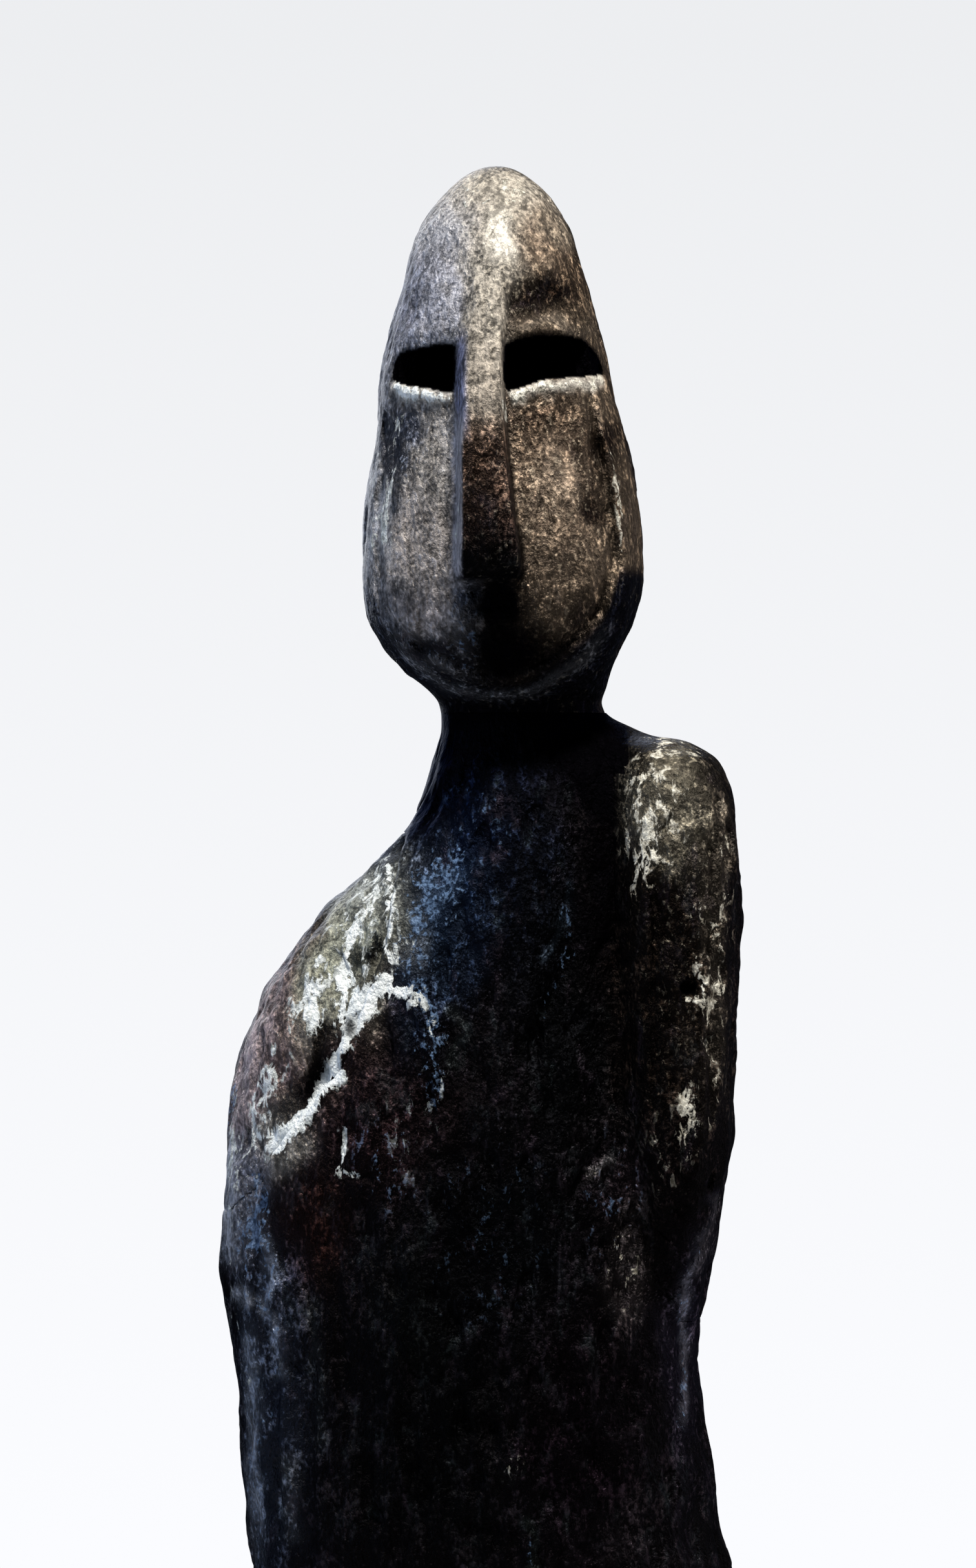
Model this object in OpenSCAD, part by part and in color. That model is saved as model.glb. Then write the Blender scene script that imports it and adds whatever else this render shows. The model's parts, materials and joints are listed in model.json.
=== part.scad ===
// Hollow cast figure of a robed ancestor on a stone plinth.
// +Z is up, the figure looks along -Y, and the origin is the middle of the felt's underside.

/* [Figure] */
// Height of the figure from its hem to its crown, mm
figure_h = 424; // [380:4:460]
// Width across both shoulders, mm
shoulder_w = 100; // [92:1:110]
// Thickness of the cast wall, mm
wall = 4; // [3:0.5:4.5]

/* [Face] */
// Height of each eye slot at its inner end, mm
slot_h = 10; // [7:0.5:12]
// Length of the nose, from the brow to its tip, mm
nose_l = 56; // [48:1:60]
// Diameter of the hole that a lost core pin left in the left arm, mm
lost_pin_d = 3; // [2:0.5:4]

/* [Sleeve joints] */
// Length of the sleeve inside each joint, mm
sleeve_h = 26; // [20:1:28]
// Thickness of the sleeves, mm
sleeve_t = 3; // [2:0.5:3.5]
// Diameter of the rivets and core pins, mm
pin_d = 3; // [2:0.5:3.5]
// Diameter of the arm dowels, mm
dowel_d = 5; // [4:0.5:6]

/* [Foot] */
// Thickness of the plate that closes the hem, mm
foot_plate_t = 4; // [3:0.5:6]
// Distance between the two mounting studs, mm
stud_gap = 46; // [36:1:52]
// Height of the tapped bosses, mm
boss_h = 12; // [10:1:16]

/* [Plinth] */
// Width of the plinth, mm
plinth_w = 128; // [116:1:150]
// Depth of the plinth, mm
plinth_d = 100; // [84:1:120]
// Height of the plinth, mm
plinth_h = 36; // [30:1:50]
// Thickness of the felt under the plinth, mm
felt_t = 2; // [1:0.5:3]

/* [Hidden] */

bronze = [0.16, 0.12, 0.10];
bright_bronze = [0.55, 0.40, 0.22];
granite = [0.10, 0.10, 0.11];
zinc_steel = [0.70, 0.71, 0.72];
felt_green = [0.10, 0.20, 0.14];

foot_z = felt_t + plinth_h;
ring_points = 40;        // points round each ring of a casting
ring_steps = 2;          // rings from one station to the next
fit = 0.2;               // clearance between a sleeve or a plate and the wall round it
pin_play = 0.1;          // a pin's hole is this much larger in radius

// M8 hardware
stud_r = 3.6;
stud_hole_r = 4.5;
washer_r = 8;
washer_t = 1.6;
nut_flats = 13;
nut_h = 6.5;
seat_r = 12;             // recess under the plinth for the nut and washer
seat_depth = 16;
boss_r = 9;

// A station is [height, left, right, front, back, squareness] of one level cut through a casting.
// Height is a percentage of the figure's, and the four sides are percentages of the shoulder width,
// from the plinth's axis. Squareness is 2 for an ellipse, and more for a boxier cut.
waist = 5;               // the robe ends and the torso begins at this station
body_stations = [
    [0, -47, 51, -33, 33, 2.5],
    [8, -46, 50.5, -32, 32, 2.5],
    [18, -44.5, 50, -31, 31, 2.4],
    [27, -44, 49, -30, 30, 2.4],
    [33, -44.6, 47, -30, 30, 2.4],
    [36, -45.3, 46, -30, 29.5, 2.4],
    [41, -47, 43, -30.5, 29, 2.4],
    [46, -48.4, 40.8, -31, 28, 2.4],
    [51, -47, 39, -30, 27, 2.3],
    [56, -42, 35.5, -28, 26, 2.3],
    [61, -34, 31, -25.5, 25, 2.3],
    [66, -25, 28, -22.5, 23.5, 2.2],
    [69.5, -18, 26, -19.5, 22, 2.2],
    [72, -13, 24.4, -15.5, 19.5, 2.1],
    [73.5, -10.5, 23.2, -12.6, 18, 2],
    [75, -9, 22.5, -11, 17, 2],
];

head_stations = [
    [75, -9, 22.5, -11, 17, 2],
    [75.8, -11, 22.6, -14.5, 18, 2],
    [77, -16.7, 24.2, -21, 21, 2.1],
    [78.4, -21.4, 27, -25.5, 24.5, 2.3],
    [80.5, -24, 29.6, -27.8, 27.5, 2.4],
    [82.8, -24, 30, -28, 29, 2.4],
    [85.2, -23.1, 28.9, -27.2, 29.8, 2.4],
    [87.6, -21.2, 26.4, -26, 29.4, 2.3],
    [90, -20.7, 23.5, -24.8, 28, 2.3],
    [92.3, -18.8, 21.8, -23, 25.4, 2.2],
    [94.6, -16.2, 19.4, -19.6, 22, 2.2],
    [96.6, -13.8, 16.8, -14.8, 18, 2.1],
    [98.3, -9.6, 12.8, -9, 13.2, 2],
    [99.4, -5.4, 8.4, -4, 8.4, 2],
    [100, -0.6, 3.4, 0.4, 4.4, 2],
];

// The figure's left arm, on +X: a boxy shoulder, and a forearm that sinks into the robe.
left_arm_stations = [
    [45.5, 31, 38.8, -22, -8, 2.2],
    [47.5, 26.5, 41.4, -26, 6, 2.4],
    [50.5, 24.6, 42.8, -27, 12, 2.6],
    [54, 24.4, 45.8, -26.6, 15, 2.8],
    [59, 24.4, 47.2, -26, 16.5, 3],
    [66, 24.4, 48, -25, 17, 3],
    [70, 24.4, 47.4, -23.5, 16.5, 2.9],
    [72, 25, 46, -20.5, 14.5, 2.7],
    [73.2, 26.5, 39.6, -16, 11.5, 2.4],
    [73.9, 28.5, 33, -9, 6, 2.2],
];

// The figure's right arm, on -X: a long sloping shoulder that goes behind the robe's edge.
right_arm_stations = [
    [43, -47, -38, -9, 9, 2.2],
    [45.5, -49.2, -34, -13, 14, 2.4],
    [49, -50.8, -30, -17, 18, 2.4],
    [53, -51.4, -27, -20, 20.5, 2.4],
    [57, -49.6, -22, -22, 22, 2.4],
    [61, -45.6, -14, -22.4, 22.6, 2.4],
    [64, -40.2, -8, -21.4, 22, 2.3],
    [67, -31.4, -4, -18.8, 20.5, 2.2],
    [69.6, -21.4, -2, -15, 18, 2.1],
    [71.6, -14, -2, -9, 12, 2],
];

head_foot = head_stations[0];
body_foot = body_stations[0];
waist_cut = body_stations[waist];
neck_z = up(head_foot[0]);
waist_z = up(waist_cut[0]);

function up(percent) = foot_z + figure_h * percent / 100;
function across(percent) = shoulder_w * percent / 100;
function middle_x(cut) = across(cut[1] + cut[2]) / 2;
function middle_y(cut) = across(cut[3] + cut[4]) / 2;
function half_w(cut) = across(cut[2] - cut[1]) / 2;
function half_d(cut) = across(cut[4] - cut[3]) / 2;

// The cut at s stations along a list, on a Catmull-Rom curve through all of them.
function cut_at(list, s) =
    let (
        i = min(floor(s), len(list) - 2),
        t = s - i,
        a = list[max(i - 1, 0)],
        b = list[i],
        c = list[i + 1],
        d = list[min(i + 2, len(list) - 1)]
    )
    b + 0.5 * t * ((c - a) + t * ((2 * a - 5 * b + 4 * c - d) + t * (3 * b - a - 3 * c + d)));

// Half of a cut's width or depth after the inset, which never takes more than two thirds of it.
function inside(half, inset) = half - min(inset, half * 2 / 3);

// A cut's outline, a superellipse, taken in by inset.
function outline(cut, inset = 0) = [
    for (k = [0:ring_points - 1])
        let (
            angle = 360 * (k + 0.5) / ring_points,
            power = 2 / cut[5]
        )
        [
            middle_x(cut) + inside(half_w(cut), inset) * sign(cos(angle)) * pow(abs(cos(angle)), power),
            middle_y(cut) + inside(half_d(cut), inset) * sign(sin(angle)) * pow(abs(sin(angle)), power)
        ]
];

// How far the front (side -1) or the back (side 1) of a cut is from the axis, at x.
function face_y(cut, x, side) =
    let (off = abs(x - middle_x(cut)) / half_w(cut))
    middle_y(cut) + side * half_d(cut) * pow(1 - pow(off, cut[5]), 1 / cut[5]);

// Where a cut is at its widest, on its left (side -1) or its right (side 1).
function side_x(cut, side) = middle_x(cut) + side * half_w(cut);

// The cut at a height, found by straight lines between stations.
function section(list, height) =
    let (
        i = max([for (k = [0:len(list) - 2]) if (k == 0 || list[k][0] <= height) k]),
        low = list[i],
        high = list[i + 1]
    )
    low + (high - low) * (height - low[0]) / (high[0] - low[0]);

// A smooth path over the front of a casting through marks of [x, height], sunk by some mm.
function on_front(list, marks, sunk = 0, steps = 2) = [
    for (i = [0:(len(marks) - 1) * steps])
        let (
            mark = cut_at(marks, i / steps),
            x = across(mark.x)
        )
        [x, face_y(section(list, mark.y), x, -1) + sunk, up(mark.y)]
];

// Radii along a path that is thickest in its middle and thin at both ends.
function tapered(path, thin, thick) = [
    for (i = [0:len(path) - 1]) thin + (thick - thin) * sin(180 * i / (len(path) - 1))
];

// A closed solid through the stations from first to last, made longer by low at its foot and by
// high at its top. A negative length makes it shorter.
module skin(list, first, last, inset = 0, low = 0, high = 0) {
    count = (last - first) * ring_steps;
    rings = [for (i = [0:count]) cut_at(list, first + i / ring_steps)];
    foot = up(list[first][0]);
    length = up(list[last][0]) - foot;
    points = [
        for (cut = rings)
            for (p = outline(cut, inset))
                [p.x, p.y, foot - low + (up(cut[0]) - foot) * (length + low + high) / length]
    ];
    n = ring_points;
    sides = [
        for (i = [0:count - 1])
            for (k = [0:n - 1])
                let (next = (k + 1) % n)
                each [
                    [i * n + k, (i + 1) * n + k, i * n + next],
                    [i * n + next, (i + 1) * n + k, (i + 1) * n + next]
                ]
    ];
    bottom = [for (k = [0:n - 1]) k];
    top = [for (k = [n - 1:-1:0]) count * n + k];
    polyhedron(points, concat(sides, [bottom, top]), convexity = 8);
}

// A level cut made into a plate, from z up by height.
module cut_plate(cut, z, height, inset = 0)
    translate([0, 0, z])
        linear_extrude(height)
            polygon(outline(cut, inset));

// The seat that a sleeve or a plate of the same cut drops into.
module seat(cut, z, height)
    cut_plate(cut, z, height, wall - fit);

// A rounded ridge or groove: balls of the given radii along a path, each pair hulled.
module ridge(path, radii)
    for (i = [0:len(path) - 2])
        hull() {
            translate(path[i]) sphere(radii[i], $fn = 16);
            translate(path[i + 1]) sphere(radii[i + 1], $fn = 16);
        }

// A pin of radius r along X, or along Y, from one coordinate to another.
module pin_x(from, to, y, z, r)
    translate([from, y, z])
        rotate([0, 90, 0])
            cylinder(h = to - from, r = r, $fn = 24);

module pin_y(from, to, x, z, r)
    translate([x, from, z])
        rotate([-90, 0, 0])
            cylinder(h = to - from, r = r, $fn = 24);

// ---- the head ----

// The nose is a wedge. Each mark is [x, y of its front edge, height, half of its width, thickness].
brow_z = up(94);
tip_z = brow_z - nose_l;
nose_marks = [
    [1.2, -15, brow_z + 8, 2.4, 5],
    [0.2, -23.8, brow_z - 4, 4.2, 6],
    [-1.6, -28.6, brow_z - 13, 4.8, 7.5],
    [-1, -32.2, brow_z - 30, 5.2, 9],
    [0.2, -34.6, tip_z + 12, 6, 10],
    [0.6, -34.6, tip_z + 1.8, 6.2, 10],
];

module nose() {
    edge = 1.8;     // radius of the wedge's front edge
    corner = 1.2;   // radius of its two back corners
    for (i = [0:len(nose_marks) - 2])
        hull()
            for (mark = [nose_marks[i], nose_marks[i + 1]]) {
                translate([across(mark.x), across(mark.y) + edge, mark.z])
                    sphere(edge, $fn = 20);
                for (side = [-1, 1])
                    translate([
                        across(mark.x) + side * (mark[3] - corner),
                        across(mark.y) + mark[4],
                        mark.z
                    ])
                        sphere(corner, $fn = 16);
            }
}

slot_z = up(90.9);
slot_ends = [[-5.6, -18], [3.2, 21.6]]; // inner and outer end of each eye slot
slot_r = 1.5;
slot_taper = 0.7;   // height of the outer end over the inner end's

module eye_slot(inner, outer) {
    outward = sign(outer - inner);
    start = across(-42);
    depth = across(40);
    hull()
        for (end = [[inner, slot_h, outward], [outer, slot_h * slot_taper, -outward]])
            for (side = [-1, 1])
                translate([
                    across(end[0]) + end[2] * slot_r,
                    start,
                    slot_z + side * (end[1] / 2 - slot_r)
                ])
                    rotate([-90, 0, 0])
                        cylinder(h = depth, r = slot_r, $fn = 16);
}

// The rim that frames the face: it runs down both temples and meets under the chin.
rim_marks = [
    [-16.5, 90.6], [-19, 87], [-20.6, 82.6], [-16.5, 79], [-8, 77.4],
    [3, 76.9], [14, 77.5], [22.4, 79.2], [26.2, 82.6], [24, 87], [20, 90.6],
];

module face_rim() {
    path = on_front(head_stations, rim_marks, 0.4);
    ridge(path, tapered(path, 0.9, 2.4));
}

head_pin_z = neck_z + sleeve_h * 0.28;
body_pin_z = neck_z - sleeve_h * 0.25;

module head_shell() {
    last = len(head_stations) - 1;
    color(bronze)
        difference() {
            union() {
                skin(head_stations, 0, last);
                nose();
                face_rim();
            }
            skin(head_stations, 0, last, wall, 2, -wall);
            seat(head_foot, neck_z - 3, sleeve_h / 2 + 3 + fit);
            for (ends = slot_ends) eye_slot(ends[0], ends[1]);
            neck_pins(pin_play, true, false);
            plugs(head_plugs, pin_play, true);
        }
}

// ---- the torso and the robe ----

// The edge of the mantle, which runs from the right shoulder down across the arm.
mantle_marks = [[-14, 69], [-15.6, 66], [-18.4, 63], [-22, 60], [-28.4, 57.6], [-36, 55.6]];
mantle_path = on_front(body_stations, mantle_marks, 0.4);

// The fold that hangs inside the mantle's edge.
fold_path = on_front(body_stations, [[-12, 64.6], [-14.4, 60.4], [-18, 56], [-21, 51]], 1.4);

// Long grooves that run down the lower body, at the left and at the right.
torso_grooves = [
    on_front(body_stations, [[-39.5, 51], [-36.4, 47.2], [-34.5, 43.4], [-32.4, 37]]),
    on_front(body_stations, [[36, 50], [37, 46.2], [36.4, 42.7]]),
];

module grooves(paths, r)
    for (path = paths) ridge(path, tapered(path, 0.3, r));

module torso_shell() {
    last = len(body_stations) - 1;
    color(bronze)
        difference() {
            union() {
                skin(body_stations, waist, last);
                ridge(mantle_path, tapered(mantle_path, 1, 2.2));
                ridge(fold_path, tapered(fold_path, 1.4, 3.4));
            }
            skin(body_stations, waist, last, wall, 2, 2);
            grooves(torso_grooves, 0.8);
            seat(waist_cut, waist_z - 3, sleeve_h / 2 + 3 + fit);
            seat(head_foot, neck_z - sleeve_h / 2 - fit, sleeve_h);
            neck_pins(pin_play, false, true);
            waist_pins(pin_play, 1);
            arm_dowels(left_dowels, 1, pin_play);
            arm_dowels(right_dowels, -1, pin_play);
            plugs(torso_plugs, pin_play, true);
        }
}

// Folds hang down the front of the robe as shallow ridges of [radius, marks].
robe_folds = [
    [2, [[8, 34], [8.4, 24], [9.6, 12], [10, 2]]],
    [1.6, [[-24, 31], [-25, 22], [-27, 12], [-28, 2]]],
    [1.8, [[31, 32], [33, 22], [36, 12], [37, 2]]],
];

module robe_shell() {
    color(bronze)
        difference() {
            union() {
                skin(body_stations, 0, waist);
                for (fold = robe_folds)
                    let (path = on_front(body_stations, fold[1], fold[0] * 0.5))
                        ridge(path, tapered(path, fold[0] * 0.6, fold[0]));
            }
            skin(body_stations, 0, waist, wall, 2, 2);
            seat(body_foot, foot_z - 3, foot_plate_t + 3 + fit);
            seat(waist_cut, waist_z - sleeve_h / 2 - fit, sleeve_h);
            waist_pins(pin_play, -1);
            plugs(robe_plugs, pin_play, true);
        }
}

// ---- the arms ----

left_dowels = [[0, 60], [2, 68]];   // [y, height] of each dowel, in percent
right_dowels = [[4, 55], [4, 61]];

// side is 1 for the left arm, whose dowels point along +X, and -1 for the right.
module arm_dowels(list, side, play) {
    length = 15;
    reach = 5;    // how far a dowel stands out of the torso's side
    for (d = list) {
        cut = section(body_stations, d[1]);
        x = side_x(cut, side);
        from = side > 0 ? x + reach - length : x - reach;
        pin_x(from - play, from + length + play, across(d[0]), up(d[1]), dowel_d / 2 + play);
    }
}

module arm_shell(list, dowels, side) {
    last = len(list) - 1;
    difference() {
        union() {
            difference() {
                skin(list, 0, last);
                skin(list, 0, last, wall, -wall, -wall);
            }
            intersection() {
                skin(list, 0, last, wall / 3, -wall / 3, -wall / 3);
                for (d = dowels)
                    let (x = side_x(section(body_stations, d[1]), side))
                        pin_x(x - 14, x + 14, across(d[0]), up(d[1]), dowel_d / 2 + 2.5);
            }
        }
        skin(body_stations, waist, len(body_stations) - 1);
        arm_dowels(dowels, side, pin_play);
    }
}

lost_pin = [38.3, 62.6]; // [x, height] of the hole that the lost core pin left, in percent

module left_arm_shell() {
    color(bronze)
        difference() {
            arm_shell(left_arm_stations, left_dowels, 1);
            pin_y(across(-34), across(-18), across(lost_pin[0]), up(lost_pin[1]), lost_pin_d / 2);
            grooves(arm_creases, 0.8);
        }
}

// Long tool creases down the front of the left arm.
arm_creases = [
    on_front(left_arm_stations, [[44.2, 70], [44.8, 66], [44.6, 60], [42.8, 54]]),
    on_front(left_arm_stations, [[31, 70.4], [30.2, 66], [31.2, 60], [31, 52]]),
];

module right_arm_shell() {
    color(bronze)
        difference() {
            arm_shell(right_arm_stations, right_dowels, -1);
            ridge(mantle_path, tapered(mantle_path, 1, 2.2));
        }
}

// ---- sleeves, rivets and plugs ----

module sleeve(cut, z) {
    color(bright_bronze)
        difference() {
            cut_plate(cut, z - sleeve_h / 2, sleeve_h, wall);
            cut_plate(cut, z - sleeve_h / 2 - 1, sleeve_h + 2, wall + sleeve_t);
            if (z == neck_z) neck_pins(pin_play, true, true);
            else {
                waist_pins(pin_play, 1);
                waist_pins(pin_play, -1);
            }
        }
}

// Four pins in the neck: two along Y in the head, two along X in the torso.
module neck_pins(play, in_head, in_body) {
    grip = wall + sleeve_t + 1;
    sink = play > 0 ? -6 : 0.6;
    r = pin_d / 2 + play;
    x = middle_x(head_foot);
    y = middle_y(head_foot);
    if (in_head) {
        pin_y(across(head_foot[3]) + sink, across(head_foot[3]) + grip, x, head_pin_z, r);
        pin_y(across(head_foot[4]) - grip, across(head_foot[4]) - sink, x, head_pin_z, r);
    }
    if (in_body) {
        pin_x(across(head_foot[1]) + sink, across(head_foot[1]) + grip, y, body_pin_z, r);
        pin_x(across(head_foot[2]) - grip, across(head_foot[2]) - sink, y, body_pin_z, r);
    }
}

// Four pins through the waist, above the joint (level 1) or below it (level -1).
module waist_pins(play, level) {
    grip = wall + sleeve_t + 1;
    sink = play > 0 ? -3 : 0.6;
    z = waist_z + level * sleeve_h / 4;
    x = middle_x(waist_cut);
    y = middle_y(waist_cut);
    r = pin_d / 2 + play;
    pin_x(across(waist_cut[1]) + sink, across(waist_cut[1]) + grip, y, z, r);
    pin_x(across(waist_cut[2]) - grip, across(waist_cut[2]) - sink, y, z, r);
    pin_y(across(waist_cut[3]) + sink, across(waist_cut[3]) + grip, x, z, r);
    pin_y(across(waist_cut[4]) - grip, across(waist_cut[4]) - sink, x, z, r);
}

// Core pins: [x, height, side] in percent, with side -1 for the front and 1 for the back.
head_plugs = [[4, 86, 1]];
torso_plugs = [[4, 41.3, -1], [-10, 46, 1], [16, 62, 1]];
robe_plugs = [[-8, 12, -1], [22, 22, -1], [-20, 22, 1], [18, 10, 1]];

// The same plugs as holes (hole true) or as the pins that fill them, flush inside the wall.
module plugs(list, play, hole) {
    for (p = list) {
        cut = section(p[1] > head_foot[0] ? head_stations : body_stations, p[1]);
        x = across(p[0]);
        y = face_y(cut, x, p[2]);
        out = hole ? 3 : -0.5;
        from = p[2] < 0 ? y - out : y - wall + 0.6;
        to = p[2] < 0 ? y + wall - 0.6 : y + out;
        reach = hole ? 2 : 0;
        pin_y(from - (p[2] > 0 ? reach : 0), to + (p[2] < 0 ? reach : 0), x, up(p[1]), pin_d / 2 + play);
    }
}

// ---- the foot and its hardware ----

module at_studs()
    for (side = [-1, 1])
        translate([side * stud_gap / 2 + middle_x(body_foot), 0, 0]) children();

module foot_plate()
    color(bright_bronze)
        difference() {
            cut_plate(body_foot, foot_z, foot_plate_t, wall);
            at_studs()
                translate([0, 0, foot_z - 1]) cylinder(h = foot_plate_t + 2, r = stud_r, $fn = 64);
        }

module stud_bosses()
    color(bright_bronze)
        at_studs()
            translate([0, 0, foot_z + foot_plate_t])
                difference() {
                    cylinder(h = boss_h, r = boss_r, $fn = 64);
                    translate([0, 0, -1]) cylinder(h = boss_h + 2, r = stud_r, $fn = 64);
                }

plinth_edge = 1.6;   // the chamfer round the top and bottom
edges = 2 * plinth_edge;
plinth_corner = 2.5;

module rounded_slab(width, depth, height, corner)
    linear_extrude(height)
        offset(corner, $fn = 32)
            square([width - 2 * corner, depth - 2 * corner], center = true);

module plinth()
    color(granite)
        translate([0, 0, felt_t])
            difference() {
                hull() {
                    rounded_slab(plinth_w - edges, plinth_d - edges, plinth_h, plinth_corner);
                    translate([0, 0, plinth_edge])
                        rounded_slab(plinth_w, plinth_d, plinth_h - edges, plinth_corner);
                }
                at_studs() {
                    translate([0, 0, -1]) cylinder(h = plinth_h + 2, r = stud_hole_r, $fn = 64);
                    translate([0, 0, -1]) cylinder(h = seat_depth + 1, r = seat_r, $fn = 64);
                }
            }

seat_z = felt_t + seat_depth;
stud_foot = seat_z - washer_t - nut_h - 3;
stud_top = foot_z + foot_plate_t + boss_h - 1;

module mounting_studs()
    color(zinc_steel)
        at_studs()
            translate([0, 0, stud_foot]) {
                cylinder(h = 1, r1 = stud_r - 0.8, r2 = stud_r - 0.02, $fn = 64);
                translate([0, 0, 1]) cylinder(h = stud_top - stud_foot - 1, r = stud_r - 0.02, $fn = 64);
            }

module stud_washers()
    color(zinc_steel)
        at_studs()
            translate([0, 0, seat_z - washer_t])
                difference() {
                    cylinder(h = washer_t, r = washer_r, $fn = 64);
                    translate([0, 0, -1]) cylinder(h = washer_t + 2, r = stud_r + 0.6, $fn = 64);
                }

module stud_nuts()
    color(zinc_steel)
        at_studs()
            translate([0, 0, seat_z - washer_t - nut_h])
                difference() {
                    intersection() {
                        cylinder(h = nut_h, r = nut_flats / sqrt(3), $fn = 6);
                        cylinder(h = nut_h, r = nut_flats / 2 + 0.7, $fn = 64);
                    }
                    translate([0, 0, -1]) cylinder(h = nut_h + 2, r = stud_r, $fn = 64);
                }

module felt_pad()
    color(felt_green)
        rounded_slab(plinth_w - 2 * edges, plinth_d - 2 * edges, felt_t, plinth_corner);

head_shell();
torso_shell();
left_arm_shell();
right_arm_shell();
robe_shell();
sleeve(head_foot, neck_z);  // neck_sleeve
sleeve(waist_cut, waist_z);  // waist_sleeve
color(bright_bronze) neck_pins(0, true, true);  // neck_rivets
color(bright_bronze) {  // waist_rivets
        waist_pins(0, 1);
        waist_pins(0, -1);
    }
color(bright_bronze) arm_dowels(left_dowels, 1, 0);  // left_arm_dowels
color(bright_bronze) arm_dowels(right_dowels, -1, 0);  // right_arm_dowels
color(bright_bronze) {  // core_pin_plugs
        plugs(head_plugs, 0, false);
        plugs(torso_plugs, 0, false);
        plugs(robe_plugs, 0, false);
    }
foot_plate();
stud_bosses();
plinth();
mounting_studs();
stud_washers();
stud_nuts();
felt_pad();
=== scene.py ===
"""The looks of a hollow cast bronze ancestor figure that is bolted on a granite plinth.

Lengths are in the modeller's millimetres, on a figure 424 mm high, and MM turns one into metres of the
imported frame. A place on the figure is (x, y, drop): x to the viewer's right, y to the back, and drop
down from the crown. A turn is an angle in degrees round the figure's axis, -90 at the front. The two
arms are the figure's own left and right, and every other left and right is the viewer's.
"""

import json

import bmesh
import bpy
import numpy as np
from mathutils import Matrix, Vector


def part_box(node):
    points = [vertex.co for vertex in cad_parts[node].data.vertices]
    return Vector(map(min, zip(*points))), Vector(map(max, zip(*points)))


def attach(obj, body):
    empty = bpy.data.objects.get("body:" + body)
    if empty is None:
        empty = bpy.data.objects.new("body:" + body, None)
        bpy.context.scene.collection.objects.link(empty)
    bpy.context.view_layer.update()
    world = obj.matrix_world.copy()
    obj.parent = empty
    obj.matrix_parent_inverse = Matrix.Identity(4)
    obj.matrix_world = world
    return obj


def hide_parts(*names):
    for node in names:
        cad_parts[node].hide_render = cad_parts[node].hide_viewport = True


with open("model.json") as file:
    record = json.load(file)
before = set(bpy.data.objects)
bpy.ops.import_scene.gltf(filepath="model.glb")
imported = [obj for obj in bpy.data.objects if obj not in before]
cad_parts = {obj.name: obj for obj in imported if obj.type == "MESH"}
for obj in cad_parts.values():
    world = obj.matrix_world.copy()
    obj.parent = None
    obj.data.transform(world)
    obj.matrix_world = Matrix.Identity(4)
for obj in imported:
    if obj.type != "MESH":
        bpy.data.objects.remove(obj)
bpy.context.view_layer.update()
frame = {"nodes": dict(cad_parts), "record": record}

FIGURE_H = 424.0
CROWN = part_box("head_shell")[1][2]
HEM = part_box("robe_shell")[0][2]
MM = (CROWN - HEM) / FIGURE_H
NECK_DROP = (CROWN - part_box("head_shell")[0][2]) / MM
WAIST_DROP = (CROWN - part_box("torso_shell")[0][2]) / MM
WALL = 3.4              # thickness of the head's, torso's and robe's castings as they are shown
ARM_WALL = 1.5          # thickness of the arms' castings, which lie on the torso
COLUMNS = 330           # columns of points round a casting
LINING_ROWS = 14        # rows of points down the inside of a casting


# ---- curves, sections and noise -------------------------------------------------------------------


def follow(marks, at):
    """Values at `at` of a cubic through marks [(place, value), ...]. Each mark's slope is the harmonic
    mean of the slopes beside it, or none at a peak, so the curve keeps the marks and never swings past."""
    places, values = np.array(marks, float).T
    steps = np.diff(places)
    rises = np.diff(values) / steps
    slopes = np.zeros(len(places))
    slopes[0], slopes[-1] = rises[0], rises[-1]
    same = rises[:-1] * rises[1:] > 0
    pair = np.where(same, rises[:-1] + rises[1:], 1.0)
    slopes[1:-1] = np.where(same, 2 * rises[:-1] * rises[1:] / pair, 0.0)
    at = np.clip(at, places[0], places[-1])
    i = np.clip(np.searchsorted(places, at, side="right") - 1, 0, len(steps) - 1)
    t = (at - places[i]) / steps[i]
    return (
        values[i] * (1 + 2 * t) * (1 - t) ** 2
        + values[i + 1] * t * t * (3 - 2 * t)
        + steps[i] * (slopes[i] * t * (1 - t) ** 2 - slopes[i + 1] * t * t * (1 - t))
    )


def smooth(low, high, value):
    """0 below low, 1 above high, and 3t^2 - 2t^3 between them."""
    t = np.clip((value - low) / (high - low), 0.0, 1.0)
    return t * t * (3 - 2 * t)


def section(table, drop):
    """Middle x, middle y, half width, half depth and squareness of a casting's level cut at each drop,
    from rows of [drop, left, right, front, back, squareness]."""
    table = np.array(table, float)
    left, right, front, back, square = (
        follow(np.stack([table[:, 0], table[:, k]], 1), drop) for k in range(1, 6)
    )
    return (left + right) / 2, (back - front) / 2, (right - left) / 2, (back + front) / 2, square


def superellipse(cut, turn):
    """Distance from a cut's middle to its edge: (|cos/a|^n + |sin/b|^n)^(-1/n)."""
    _, _, half_w, half_d, square = cut
    across = np.abs(np.cos(turn)) / half_w
    along = np.abs(np.sin(turn)) / half_d
    return (across**square + along**square) ** (-1 / square)


def outside(cut, x, y):
    """About how far (x, y) is outside a cut's superellipse, and less than 0 inside it."""
    mid_x, mid_y, half_w, half_d, square = cut
    ratio = (np.abs(x - mid_x) / half_w) ** square + (np.abs(y - mid_y) / half_d) ** square
    return (ratio ** (1 / square) - 1) * np.minimum(half_w, half_d)


def melt(a, b, reach):
    """The smaller of two distances, rounded over where they are within reach of each other."""
    share = np.clip(0.5 + 0.5 * (b - a) / reach, 0.0, 1.0)
    return b * (1 - share) + a * share - reach * share * (1 - share)


WAVES = 22              # sine waves in each noise
NOISE_SPREAD = 1.4      # divides their sum, so that only its few highest crests are clipped


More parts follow.
